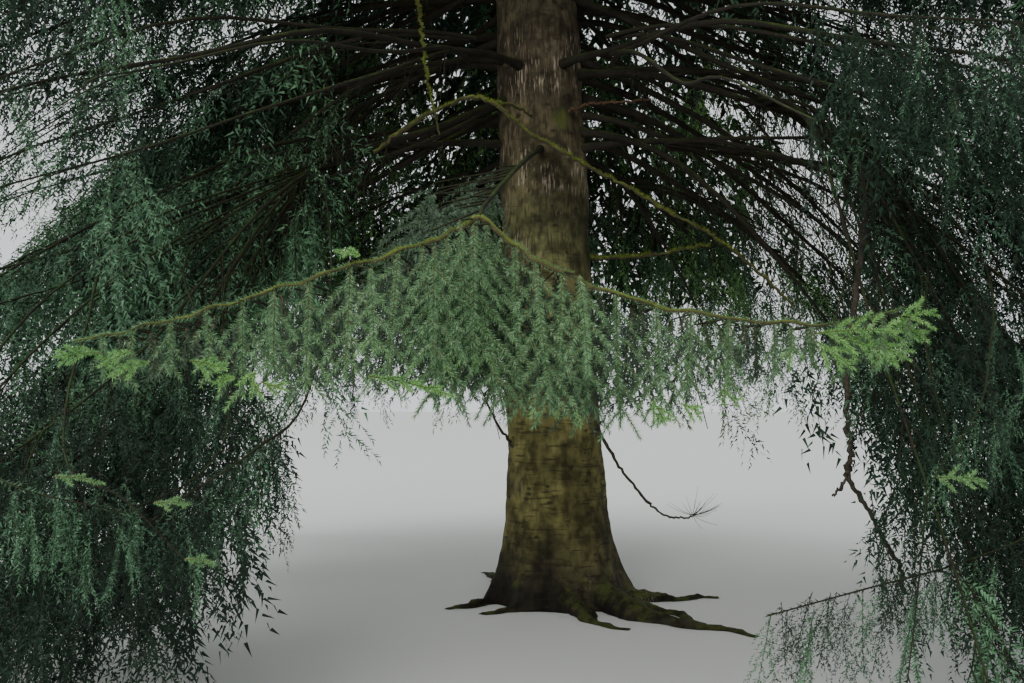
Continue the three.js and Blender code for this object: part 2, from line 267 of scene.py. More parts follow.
def addRamp(tree, factor, stops):
    node = addNode(tree, "ShaderNodeValToRGB", inputs={"Fac": factor})
    elements = node.color_ramp.elements
    while len(elements) < len(stops):
        elements.new(0.5)
    for element, (position, colour) in zip(elements, stops):
        element.position = position
        element.color = (*colour, 1)
    return node.outputs["Color"]


# Shared groups have one output each, and their values are given in the order of their sockets.
def startGroup(name, inputs, output, outputKind="NodeSocketFloat"):
    group = bpy.data.node_groups.new(name, "ShaderNodeTree")
    for key, value in inputs.items():
        kind = "NodeSocketColor" if isinstance(value, tuple) else "NodeSocketFloat"
        group.interface.new_socket(name=key, in_out="INPUT", socket_type=kind).default_value = value
    group.interface.new_socket(name=output, in_out="OUTPUT", socket_type=outputKind)
    return group, group.nodes.new("NodeGroupInput").outputs, group.nodes.new("NodeGroupOutput").inputs[0]


def useGroup(tree, group, *values):
    return addNode(tree, "ShaderNodeGroup", {"node_tree": group}, dict(enumerate(values))).outputs[0]


# Moss lies on what faces up, in patches.
def makeMossGroup():
    group, given, mask = startGroup("moss_cover", {"Cover": 0.5, "Patch Size": 3.0}, "Mask")
    where = group.nodes.new("ShaderNodeNewGeometry").outputs
    upward = addNode(group, "ShaderNodeSeparateXYZ", inputs={"Vector": where["Normal"]}).outputs["Z"]
    patches = addNoise(group, where["Position"], given["Patch Size"], 5.0, roughness=0.65)
    raised = addMaths(group, "ADD", addMaths(group, "MULTIPLY_ADD", upward, 0.28, patches), given["Cover"])
    group.links.new(addRange(group, raised, 0.95, 1.12), mask)
    return group


# Fine cracks between small plates, as a height for bump.
def makeCrackGroup():
    group, _, height = startGroup("bark_cracks", {}, "Height")
    place = addNode(group, "ShaderNodeTexCoord").outputs["Object"]
    wander = addNoise(group, place, 9.0, 2.0, output="Color")
    place = addVectorMaths(group, "MULTIPLY_ADD", wander, (0.05, 0.05, 0.05), place)[0]
    cellInputs = {"Vector": place, "Scale": 60.0}
    cells = addNode(group, "ShaderNodeTexVoronoi", {"feature": "DISTANCE_TO_EDGE"}, cellInputs)
    crack = addRange(group, cells.outputs["Distance"], 0.0, 0.12, 1.0, 0.0)
    group.links.new(addMaths(group, "MULTIPLY_ADD", crack, -0.7, addNoise(group, place, 60.0, 6.0)), height)
    return group


# Two colours in soft drifts, with a third in small flecks.
def makeDriftGroup():
    grey = (0.3, 0.3, 0.3, 1)
    scales = {"Drift Scale": 2.0, "Fleck Scale": 60.0, "Flecks": 0.3}
    inputs = {"Dark": grey, "Light": grey, "Fleck": grey, **scales}
    group, given, colour = startGroup("colour_drift", inputs, "Color", "NodeSocketColor")
    place = addNode(group, "ShaderNodeTexCoord").outputs["Object"]
    drift = addRange(group, addNoise(group, place, given["Drift Scale"], 4.0), 0.34, 0.66, kind="LINEAR")
    blend = mixColour(group, drift, given["Dark"], given["Light"])
    spots = addRange(group, addNoise(group, place, given["Fleck Scale"], 2.0), 0.5, 0.75, kind="LINEAR")
    amount = addMaths(group, "MULTIPLY", spots, given["Flecks"])
    group.links.new(mixColour(group, amount, blend, given["Fleck"]), colour)
    return group


mossGroup = makeMossGroup()
crackGroup = makeCrackGroup()
driftGroup = makeDriftGroup()


def startMaterial(name, roughness, specular):
    material = bpy.data.materials.new(name)
    material.use_nodes = True
    tree = material.node_tree
    shader = tree.nodes["Principled BSDF"]
    shader.inputs["Roughness"].default_value = roughness
    shader.inputs["Specular IOR Level"].default_value = specular
    return material, tree, shader


# Needles: dark, light and pale colour, scale of the drifts, least and most brightness of a needle, roughness,
# specular. Dim and shade are darker copies for needles in shade, painted shade; backlit is a lighter copy for
# needles that daylight would shine through, painted light; front is the lighter copy for the fork's front
# combs.
needleLooks = {
    "backlit": ((0.052, 0.144, 0.041), (0.144, 0.3, 0.077), (0.25, 0.42, 0.15), 0.7, 0.6, 1.5, 0.6, 0.3),
    "dim": (
        (0.0045, 0.0155, 0.0075), (0.011, 0.033, 0.0155), (0.03, 0.068, 0.038), 0.8, 0.5, 1.5, 0.65, 0.25,
    ),
    "front": ((0.05, 0.12, 0.05), (0.095, 0.195, 0.082), (0.22, 0.34, 0.2), 2.2, 0.45, 1.75, 0.5, 0.4),
    "shade": ((0.02, 0.042, 0.021), (0.042, 0.075, 0.037), (0.09, 0.125, 0.08), 2.2, 0.6, 1.5, 0.55, 0.35),
    "tip": ((0.085, 0.19, 0.07), (0.14, 0.285, 0.1), (0.25, 0.4, 0.2), 6.0, 0.75, 1.35, 0.5, 0.4),
    "near": ((0.032, 0.082, 0.043), (0.074, 0.165, 0.08), (0.15, 0.245, 0.155), 0.9, 0.55, 1.5, 0.6, 0.3),
    "far": ((0.019, 0.052, 0.024), (0.042, 0.098, 0.042), (0.09, 0.16, 0.09), 0.6, 0.5, 1.5, 0.65, 0.25),
    "fresh": ((0.09, 0.235, 0.06), (0.17, 0.37, 0.1), (0.32, 0.52, 0.22), 6.0, 0.75, 1.25, 0.5, 0.4),
    "moss": ((0.085, 0.115, 0.016), (0.16, 0.2, 0.03), (0.26, 0.3, 0.07), 9.0, 0.6, 1.3, 0.9, 0.1),
}


# Each needle is a little lighter or darker than the next, in drifts through the crown.
def needleMaterial(name, look):
    dark, light, pale, driftScale, least, most, roughness, specular = look
    material, tree, shader = startMaterial(f"{name}_needles", roughness, specular)
    drift = useGroup(tree, driftGroup, dark, light, pale, driftScale, 45.0, 0.35)
    each = tree.nodes.new("ShaderNodeNewGeometry").outputs["Random Per Island"]
    brightness = addRange(tree, each, 0.0, 1.0, least, most, kind="LINEAR")
    tree.links.new(brighten(tree, drift, brightness), shader.inputs["Base Color"])
    return material


needleMaterials = {name: needleMaterial(name, look) for name, look in needleLooks.items()}

# The trunk's bark: near black at its foot, olive, then red-brown, with pale streaks where it peels.
trunkBarkLook = {
    "heights": [
        (0.0, (0.02, 0.017, 0.011)), (0.045, (0.034, 0.029, 0.016)), (0.12, (0.098, 0.09, 0.032)),
        (0.36, (0.112, 0.106, 0.036)), (0.55, (0.088, 0.088, 0.037)), (0.68, (0.082, 0.068, 0.036)),
        (0.86, (0.074, 0.058, 0.036)), (0.95, (0.06, 0.056, 0.03)),
    ],
    "rampTop": 5.0, "heightWander": 0.55, "streak": (0.33, 0.27, 0.2),
    "streakBands": [(4.02, 0.3), (3.22, 0.24)], "dark": (0.022, 0.018, 0.011), "moss": (0.07, 0.088, 0.018),
    "mossSpot": (0.05, -0.36, 3.62), "mossReach": 0.17, "stainSpot": (0.03, -0.36, 3.43),
    "stainReach": 0.13,
}


# A soft mask round one spot, with a ragged edge.
def addSpotMask(tree, place, ragged, spot, reach):
    away = addVectorMaths(tree, "DISTANCE", place, spot)["Value"]
    edged = addMaths(tree, "MULTIPLY_ADD", ragged, reach, away)
    return addRange(tree, edged, reach * 1.1, reach * 1.45, 1.0, 0.0)


def trunkMaterial():
    look = trunkBarkLook
    material, tree, shader = startMaterial("trunk_bark", 0.88, 0.22)
    place = addNode(tree, "ShaderNodeTexCoord").outputs["Object"]
    z = addNode(tree, "ShaderNodeSeparateXYZ", inputs={"Vector": place}).outputs["Z"]

    def times(first, second):
        return addMaths(tree, "MULTIPLY", first, second)

    def darken(colour, mask):
        return mixColour(tree, mask, colour, look["dark"])

    # Colour by height and mottling, then dark dashes across and small scars on the lower stem.
    patches = addNoise(tree, place, 2.6, 6.0)
    lifted = addMaths(tree, "MULTIPLY_ADD", addMaths(tree, "SUBTRACT", patches, 0.5), look["heightWander"], z)
    colour = addRamp(tree, addRange(tree, lifted, 0.0, look["rampTop"], kind="LINEAR"), look["heights"])
    grain = addNoise(tree, place, 16.0, 8.0, (1.0, 1.0, 0.7))
    shade = times(addRange(tree, grain, 0.3, 0.7, 0.5, 1.5), addRange(tree, patches, 0.36, 0.62, 0.5, 1.3))
    colour = brighten(tree, colour, shade)
    dashes = addRange(tree, addNoise(tree, place, 5.5, 5.0, (1.0, 1.0, 9.0)), 0.56, 0.66)
    dashes = times(dashes, addRange(tree, z, 1.9, 2.9, 1.0, 0.35))
    colour = darken(colour, times(dashes, 0.6))
    scarPlace = addVectorMaths(tree, "MULTIPLY", place, (1.0, 1.0, 1.7))[0]
    scarCells = addNode(tree, "ShaderNodeTexVoronoi", inputs={"Vector": scarPlace, "Scale": 6.5})
    scars = scarCells.outputs["Distance"]
    scars = addMaths(tree, "MULTIPLY_ADD", grain, 0.3, scars)
    colour = darken(colour, addRange(tree, scars, 0.25, 0.34, 0.75, 0.0))

    # Fine upright cracks everywhere, pale upright streaks in bands.
    fibres = addNoise(tree, place, 52.0, 4.0, (1.0, 1.0, 0.11))
    cracks = times(addRange(tree, fibres, 0.36, 0.46, 0.6, 0.0), addRange(tree, z, 1.6, 3.0, 0.25, 1.0))
    colour = darken(colour, cracks)
    bands = []
    for middle, reach in look["streakBands"]:
        away = addMaths(tree, "ABSOLUTE", addMaths(tree, "SUBTRACT", lifted, middle))
        bands.append(addRange(tree, away, reach * 0.4, reach, 1.0, 0.0))
    peeling = addRange(tree, addNoise(tree, place, 5.0, 3.0), 0.42, 0.56)
    peeling = times(peeling, addMaths(tree, "MAXIMUM", *bands))
    elsewhere = addRange(tree, addNoise(tree, place, 2.2, 2.0), 0.6, 0.72, 0.0, 0.6)
    lines = addRange(tree, addNoise(tree, place, 84.0, 4.0, (1.0, 1.0, 0.09)), 0.5, 0.64)
    streaks = times(lines, addMaths(tree, "MAXIMUM", peeling, elsewhere))
    colour = mixColour(tree, streaks, colour, look["streak"])

    # A dark stain below a spot of moss, and thinner moss on what faces up.
    stain = addSpotMask(tree, place, patches, look["stainSpot"], look["stainReach"])
    colour = darken(colour, times(stain, 0.8))
    moss = times(useGroup(tree, mossGroup, 0.31, 4.6), addRange(tree, grain, 0.3, 0.6, 0.25, 0.8))
    spotMoss = addSpotMask(tree, place, patches, look["mossSpot"], look["mossReach"])
    moss = addMaths(tree, "MAXIMUM", times(spotMoss, 0.85), moss)
    tree.links.new(mixColour(tree, moss, colour, look["moss"]), shader.inputs["Base Color"])

    relief = addMaths(tree, "MULTIPLY_ADD", fibres, 0.7, grain)
    relief = addMaths(tree, "MULTIPLY_ADD", dashes, -0.35, relief)
    relief = addMaths(tree, "MULTIPLY_ADD", addNoise(tree, place, 110.0, 5.0), 0.35, relief)
    addBump(tree, shader, relief, 0.85, 0.014)
    return material


# Limbs: dark, light and fleck of the bark, dark and light of its moss, how much moss, scale of its patches.
limbLooks = {
    "bough": (
        (0.011, 0.01, 0.007), (0.026, 0.022, 0.015), (0.05, 0.045, 0.03),
        (0.02, 0.032, 0.008), (0.045, 0.068, 0.014), 0.34, 3.5,
    ),
    "mossy_limb": (
        (0.032, 0.03, 0.014), (0.072, 0.064, 0.03), (0.13, 0.12, 0.065),
        (0.05, 0.068, 0.012), (0.12, 0.155, 0.03), 0.5, 9.0,
    ),
    "red_limb": (
        (0.05, 0.028, 0.017), (0.11, 0.062, 0.036), (0.17, 0.11, 0.07),
        (0.06, 0.06, 0.018), (0.12, 0.12, 0.035), 0.3, 9.0,
    ),
    "twig": (
        (0.012, 0.011, 0.007), (0.03, 0.026, 0.016), (0.06, 0.052, 0.032),
        (0.016, 0.027, 0.008), (0.034, 0.052, 0.015), 0.36, 4.0,
    ),
    "shoot_stem": (
        (0.065, 0.052, 0.022), (0.125, 0.1, 0.045), (0.19, 0.16, 0.08),
        (0.07, 0.085, 0.022), (0.12, 0.14, 0.045), 0.3, 6.0,
    ),
    "dead_wood": (
        (0.024, 0.02, 0.014), (0.05, 0.042, 0.03), (0.12, 0.105, 0.08),
        (0.035, 0.042, 0.015), (0.07, 0.08, 0.03), 0.24, 6.0,
    ),
}


def limbMaterial(name, look):
    dark, light, fleck, mossDark, mossLight, mossCover, mossPatch = look
    material, tree, shader = startMaterial(name, 0.9, 0.2)
    bark = useGroup(tree, driftGroup, dark, light, fleck, 5.0, 70.0, 0.5)
    moss = useGroup(tree, driftGroup, mossDark, mossLight, mossLight, 12.0, 140.0, 0.4)
    mossy = mixColour(tree, useGroup(tree, mossGroup, mossCover, mossPatch), bark, moss)
    tree.links.new(mossy, shader.inputs["Base Color"])
    addBump(tree, shader, useGroup(tree, crackGroup), 0.5, 0.006)
    return material


limbMaterials = {name: limbMaterial(name, look) for name, look in limbLooks.items()}
trunkBark = trunkMaterial()
print("materials ready")


def unit(vectors):
    return vectors / np.maximum(np.linalg.norm(vectors, axis=-1, keepdims=True), 1e-9)


# Tubes round many paths at once. Paths are (count, points, 3), radii (count, points).
def tubes(paths, radii, sides):
    count, points = paths.shape[:2]
    tangent = unit(np.gradient(paths, axis=1))
    run = paths[:, -1] - paths[:, 0]
    level = np.stack([-run[:, 1], run[:, 0], np.zeros(count)], axis=1)
    plumb = np.hypot(run[:, 0], run[:, 1]) < 0.02 * np.abs(run[:, 2])
    level[plumb] = (1, 0, 0)
    level = unit(level)[:, None]
    across = unit(level - tangent * np.sum(level * tangent, axis=2, keepdims=True))
    lift = np.cross(tangent, across)
    turn = 2 * math.pi * np.arange(sides) / sides
    ring = across[:, :, None] * np.cos(turn)[:, None] + lift[:, :, None] * np.sin(turn)[:, None]
    vertices = paths[:, :, None] + ring * radii[:, :, None, None]
    row = np.arange(count)[:, None, None] * points + np.arange(points - 1)[None, :, None]
    side = np.arange(sides)[None, None, :]
    a = row * sides + side
    b = row * sides + (side + 1) % sides
    quads = np.stack([a, b, b + sides, a + sides], axis=-1).reshape(-1, 4)
    triangles = np.concatenate([quads[:, [0, 1, 2]], quads[:, [0, 2, 3]]])
    return vertices.reshape(-1, 3), triangles


def joined(parts):
    vertices = []
    triangles = []
    start = 0
    for partVertices, partTriangles in parts:
        vertices.append(partVertices)
        triangles.append(partTriangles + start)
        start += len(partVertices)
    return np.concatenate(vertices), np.concatenate(triangles)


# A smooth path through a few points.
def smoothPath(points, count):
    points = np.asarray(points, dtype=float)
    ends = np.concatenate([[2 * points[0] - points[1]], points, [2 * points[-1] - points[-2]]])
    place = np.linspace(0, len(points) - 1, count)
    index = np.minimum(place.astype(int), len(points) - 2)
    t = (place - index)[:, None]
    p0, p1, p2, p3 = (ends[index + k] for k in range(4))
    return 0.5 * (
        2 * p1 + (p2 - p0) * t + (2 * p0 - 5 * p1 + 4 * p2 - p3) * t**2 + (3 * p1 - p0 - 3 * p2 + p3) * t**3
    )


# Needles along shoots: one narrow triangle each, all round the shoot but mostly to its sides.
def needlesOn(paths, look, random):
    segments = np.linalg.norm(np.diff(paths, axis=1), axis=2)
    lengths = segments.sum(axis=1)
    counts = np.maximum(3, np.round(lengths * look["perMetre"]).astype(int))
    owner = np.repeat(np.arange(len(paths)), counts)
    total = len(owner)
    order = np.arange(total) - np.repeat(np.cumsum(counts) - counts, counts)
    share = (order + 0.25 + 0.5 * random.random(total)) / counts[owner]
    points = paths.shape[1]
    place = share * (points - 1)
    index = np.minimum(place.astype(int), points - 2)
    t = (place - index)[:, None]
    low = paths[owner, index]
    high = paths[owner, index + 1]
    root = low * (1 - t) + high * t
    along = unit(high - low)
    plane = unit(np.cross(along, np.broadcast_to(look["plane"], along.shape)) + 1e-6)
    depth = np.cross(along, plane)
    around = 2 * math.pi * random.random(total)
    vary = 1 + look["leanScatter"] * (2 * random.random(total) - 1)
    lean = np.radians(look["lean"]) * (1 - 0.6 * share**8) * vary
    outward = unit(plane * np.cos(around)[:, None] + depth * (look["flat"] * np.sin(around))[:, None])
    direction = along * np.cos(lean)[:, None] + outward * np.sin(lean)[:, None]
    length = look["length"] * (0.75 + 0.4 * random.random(total)) * np.where(share < 0.06, 0.7, 1)
    level = unit(along - direction * np.sum(along * direction, axis=1, keepdims=True))
    spin = unit(level + look["twist"] * np.cross(direction, level) * random.normal(size=(total, 1)))
    half = spin * look["width"] / 2
    return np.stack([root - half, root + half, root + direction * length[:, None]], axis=1)


# A hanging spray: a main shoot straight down with side shoots on both sides, like a comb.
def growSpray(length, look, random):
    points = look["points"]
    t = np.linspace(0, 1, points)
    bend = look["bend"] * random.normal() * length
    main = np.stack([bend * t**2, 0.4 * bend * (t**2) * random.normal(), -length * t], axis=1)
    shoots = [main]
    down = look["first"]
    side = 1
    while down < length * 0.93:
        share = down / length
        fullness = min(1, 0.42 + 1.5 * share) * (1 - 0.5 * share)
        size = look["longest"] * min(1, length / look["usual"]) * fullness * (0.82 + 0.36 * random.random())
        spread = math.radians(look["spread"] - 8 * share + 5 * random.normal())
        swing = math.radians(look["swing"]) * random.normal()
        heading = np.array([side * math.sin(spread), math.sin(swing) * math.sin(spread), -math.cos(spread)])
        origin = np.array([bend * share**2, 0, -down])
        drop = np.array([0, 0, -look["droop"] * size])
        shoots.append(origin + heading * size * t[:, None] + drop * (t**2)[:, None])
        side = -side
        down += look["spacing"] * ((0.12 if side < 0 else 0.8) + 0.15 * random.random())
    return np.array(shoots)


def axisTurns(angle, first, second):
    turns = np.tile(np.eye(3), (len(angle), 1, 1))
    turns[:, first, first] = np.cos(angle)
    turns[:, second, second] = np.cos(angle)
    turns[:, second, first] = np.sin(angle)
    turns[:, first, second] = -np.sin(angle)
    return turns


def turnMatrices(yaw, tilt, sway):
    return axisTurns(yaw, 0, 1) @ axisTurns(tilt, 2, 0) @ axisTurns(sway, 1, 2)


# Copies of loose triangles at many spots. A spot is (x, y, z, yaw, tilt, sway, scale).
def copiesOf(triangles, spots):
    turned = np.einsum("mij,pj->mpi", turnMatrices(*spots[:, 3:6].T), triangles.reshape(-1, 3))
    placed = turned * spots[:, 6, None, None] + spots[:, None, :3]
    return placed.reshape(-1, 3, 3)


def loosePiece(name, triangles, material):
    vertices = triangles.reshape(-1, 3)
    faces = np.arange(len(vertices)).reshape(-1, 3)
    return addPiece(name, vertices, faces, material, smooth=False)


# Everything that grows is gathered here first, and becomes pieces further down.
wood = {"bough": [], "mossy_limb": [], "red_limb": [], "twig": [], "dead_wood": []}
spots = {}
clad = []
groundGap = 0.03
crownOver = 0.27


def addWood(kind, paths, radii, sides):
    paths = np.array(paths, dtype=float)
    paths[:, :, 2] = np.maximum(paths[:, :, 2], groundGap)
    radii = np.broadcast_to(np.asarray(radii, dtype=float), paths.shape[:2])
    wood[kind].append(tubes(paths, radii, sides))


def addSpot(tier, place, yaw, tilt, sway, scale):
    spots.setdefault(tier, []).append((*place, yaw, tilt, sway, scale))


# How boughs branch. Shares are of the bough's reach, lengths in metres, density is the share of sprays kept.
lowerGrowth = {
    "branchFrom": 0.3, "branchTo": 0.98, "branchEvery": 0.21, "branchLongest": 1.15, "branchShortest": 0.28,
    "openAngle": 58, "closeAngle": 32, "leafFrom": 0.36, "sprayEvery": 0.125, "spraySize": 1.0,
    "outward": -0.42, "whipEvery": 0.36, "branchRadius": 0.0075, "branchPoints": 4, "boughPoints": 18,
    "sides": 7, "wobble": 0.03, "density": 1.0, "thickness": 0.0058, "swell": 0.8,
}
backGrowth = dict(lowerGrowth, branchEvery=0.28, leafFrom=0.3, sprayEvery=0.17, spraySize=1.25, whipEvery=0)
upperGrowth = dict(
    lowerGrowth, branchEvery=0.36, branchLongest=0.95, branchShortest=0.25, openAngle=60, closeAngle=36,
    leafFrom=0.3, sprayEvery=0.25, spraySize=1.3, outward=-0.3, whipEvery=0, branchRadius=0.009,
    branchPoints=3, boughPoints=8, sides=4, wobble=0.04, woodEvery=3,
)
lowerNames = [tier[0] for tier in lowerTiers]

# The lane kept open from the camera to the trunk, and the daylight under the crown beside and behind it.
lane = {"atTrunk": -0.14, "halfAtTrunk": 0.62, "halfAtCamera": 0.1, "top": 5.2}
daylight = {
    "middle": -0.2, "halfWidth": 1.5, "top": 1.35, "besideFrom": -2.8, "backFrom": 25, "backTo": 135,
    "backTop": 1.3,
}

# Where the picture looks past the near side of the crown: edges in pixels, clear up to a depth in metres.
openGround = {"left": 290, "right": 850, "lowRight": 735, "lowFrom": 590, "depth": 13}
openEdge = [(290, 405), (420, 405), (490, 440), (600, 460), (650, 482), (705, 455), (765, 405), (850, 405)]
pictureWindows = [
    {"left": 585, "right": 815, "bottom": 290, "depth": 6.4},
    {"left": 140, "right": 490, "bottom": 215, "depth": 5.9},
]
picture = {"focal": 996, "middle": 512, "horizon": 400}


def inPicture(x, y, z):
    depth = np.maximum(y - cameraView["place"][1], 0.1)
    across = picture["middle"] + picture["focal"] * (x - cameraView["place"][0]) / depth
    down = picture["horizon"] - picture["focal"] * (z - cameraView["place"][2]) / depth
    return across, down, depth


def onOpenGround(across, down, depth):
    right = np.where(down > openGround["lowFrom"], openGround["lowRight"], openGround["right"])
    edge = np.interp(across, *zip(*openEdge))
    return (across > openGround["left"]) & (across < right) & (down > edge) & (depth < openGround["depth"])


def staysOpen(x, y, z):
    toCamera = np.clip(y / cameraView["place"][1], 0, 1)
    laneX = lane["atTrunk"] + (cameraView["place"][0] - lane["atTrunk"]) * toCamera
    laneHalf = lane["halfAtTrunk"] + (lane["halfAtCamera"] - lane["halfAtTrunk"]) * toCamera
    hidden = (y < 0.2) & (np.abs(x - laneX) < laneHalf) & (z < lane["top"])
    azimuth = np.degrees(np.arctan2(y, x))
    hidden |= (azimuth > daylight["backFrom"]) & (azimuth < daylight["backTo"]) & (z < daylight["backTop"])
    beside = np.abs(x - daylight["middle"]) < daylight["halfWidth"]
    hidden |= beside & (z < daylight["top"]) & (y > daylight["besideFrom"])
    across, down, depth = inPicture(x, y, z)
    for window in pictureWindows:
        inside = (across > window["left"]) & (across < window["right"]) & (down < window["bottom"])
        hidden |= inside & (depth < window["depth"])
    return hidden | onOpenGround(across, down, depth)


def alongPath(path, share):
    place = min(share, 0.999) * (len(path) - 1)
    index = int(place)
    return path[index] + (path[index + 1] - path[index]) * (place - index)


# A bough may fork from a parent at some distance from the trunk, and runs straight from there to its own end.
forking = {"fill": 1.0, "side": 1.7, "settled": 0.6}


def forkLine(parent, bough):
    ends = [(parent["at"], math.radians(parent["azimuth"])), (bough["reach"], math.radians(bough["azimuth"]))]
    (startX, startY), (endX, endY) = [(d * math.cos(a), d * math.sin(a)) for d, a in ends]
    t = np.linspace(0, 1, 40)
    x = startX + (endX - startX) * t
    y = startY + (endY - startY) * t
    azimuth = np.degrees(np.unwrap(np.arctan2(y, x)))
    return np.hypot(x, y), azimuth + 360 * round((bough["azimuth"] - azimuth[-1]) / 360)


# The line and thickness of a bough: degrees, waves to the metre, metres and shares.
boughForm = {
    "bend": 1.6, "bendGain": 3, "swayWave": 2.3, "liftWave": 2.9, "lowest": 0.12, "inTrunk": 0.6,
    "end": 0.985, "tip": 0.003, "taper": 1.15, "ripple": 0.06, "rippleWave": 31, "swellReach": 0.13,
    "sprayRoom": 1.3,
}
branchForm = {
    "firstGap": 0.1, "lengthPower": 1.5, "least": 0.7, "more": 0.5, "past": 1.01, "droop": 0.16,
    "moreDroop": 0.2, "lowest": 0.15, "thick": 1.15, "thinner": 0.5, "taper": 0.72, "sprayFrom": 0.15,
    "sprayMore": 0.85, "smallSpray": 0.75, "sprayScatter": 0.5, "nearSpray": 1.1, "endSpray": 0.35,
    "turnScatter": 0.5, "leastRoom": 0.8, "moreRoom": 0.4, "tiltScatter": 0.2, "swayScatter": 0.2,
}


# Where a bough runs, as points for distances and azimuths, with a bend and a wobble of its own.
def boughLine(bough, heightAt, wobble, parent, random):
    axisX, axisY = trunkAxis(bough["leave"])
    phase = random.random(4) * 6.28
    bend = random.normal() * boughForm["bend"]
    if parent:
        lineDistance, lineAzimuth = forkLine(parent, bough)

    def pointAt(distance, azimuth=None):
        if azimuth is None:
            azimuth = np.full(len(distance), bough["azimuth"])
        level = heightAt(distance, azimuth)
        if parent:
            settled = (bough["reach"] - parent["at"]) * forking["settled"]
            away = np.clip((distance - parent["at"]) / settled, 0, 1)
            away = away * away * (3 - 2 * away)
            level = parent["heightAt"](distance, azimuth) * (1 - away) + level * away
            azimuth = azimuth - bough["azimuth"] + np.interp(distance, lineDistance, lineAzimuth)
        turned = np.radians(azimuth + bend * (distance / bough["reach"]) ** 2 * boughForm["bendGain"])
        swayed = wobble * np.sin(distance * boughForm["swayWave"] + phase[0]) * np.minimum(1, distance)
        lifted = wobble * np.sin(distance * boughForm["liftWave"] + phase[1]) * np.minimum(1, distance)
        x = axisX + distance * np.cos(turned) - swayed * np.sin(turned)
        y = axisY + distance * np.sin(turned) + swayed * np.cos(turned)
        return np.stack([x, y, np.maximum(level + lifted, boughForm["lowest"])], axis=-1)

    return pointAt, phase[2]


def hangSpray(tier, spot, yaw, size, growth, random):
    tilt = growth["outward"] + branchForm["tiltScatter"] * random.normal()
    addSpot(tier, spot, yaw, tilt, branchForm["swayScatter"] * random.normal(), size)


# Branches by turns on both sides of a bough, with sprays or, nearer the trunk, the places of bare whips.
def growBranches(bough, pointAt, base, leafFrom, growth, random):
    reach = bough["reach"]
    lower = bough["tier"] in lowerNames
    side = 1 if random.random() < 0.5 else -1
    away = max(growth["branchFrom"] * reach, base + branchForm["firstGap"])
    t = np.linspace(0, 1, growth["branchPoints"])
    branches = []
    radii = []
    whips = []
    while away < growth["branchTo"] * reach:
        share = away / reach
        longest = growth["branchLongest"]
        length = longest + (growth["branchShortest"] - longest) * share ** branchForm["lengthPower"]
        length *= branchForm["least"] + branchForm["more"] * random.random()
        angle = math.radians(growth["openAngle"] + (growth["closeAngle"] - growth["openAngle"]) * share)
        onward = length * math.cos(angle)
        turn = side * math.degrees(math.atan2(length * math.sin(angle), away + onward))
        outward = np.minimum(away + onward * t, reach * branchForm["past"])
        branch = pointAt(outward, bough["azimuth"] + turn * t)
        droop = branchForm["droop"] + branchForm["moreDroop"] * random.random()
        branch[:, 2] = np.maximum(branch[:, 2] - droop * length * t**2, branchForm["lowest"])
        side = -side
        if lower and staysOpen(*branch.T).any():
            away += growth["branchEvery"]
            continue
        branches.append(branch)
        thick = growth["branchRadius"] * (branchForm["thick"] - share * branchForm["thinner"])
        radii.append(thick * (1 - branchForm["taper"] * t))
        leafy = share > leafFrom
        if lower and leafy:
            clad.append((bough["tier"], branch[None]))
        run = branch[-1] - branch[0]
        every = growth["sprayEvery" if leafy else "whipEvery"]
        steps = max(1, int(length / every)) if every else 0
        for k in range(steps):
            if leafy and random.random() > growth["density"]:
                continue
            onBranch = branchForm["sprayFrom"] + branchForm["sprayMore"] * (k + random.random()) / steps
            spot = alongPath(branch, onBranch)
            if leafy:
                size = growth["spraySize"] * (
                    branchForm["smallSpray"] + branchForm["sprayScatter"] * random.random()
                ) * (branchForm["nearSpray"] - branchForm["endSpray"] * share)
                yaw = math.atan2(run[1], run[0]) + branchForm["turnScatter"] * random.normal()
                hangSpray(bough["tier"], spot, yaw, size, growth, random)
            else:
                whips.append(spot)
        away += growth["branchEvery"] * (
            branchForm["leastRoom"] + branchForm["moreRoom"] * random.random()
        )
    step = 1 if lower else growth["woodEvery"]
    if branches:
        addWood("twig", branches[::step], radii[::step], 3)
    return whips


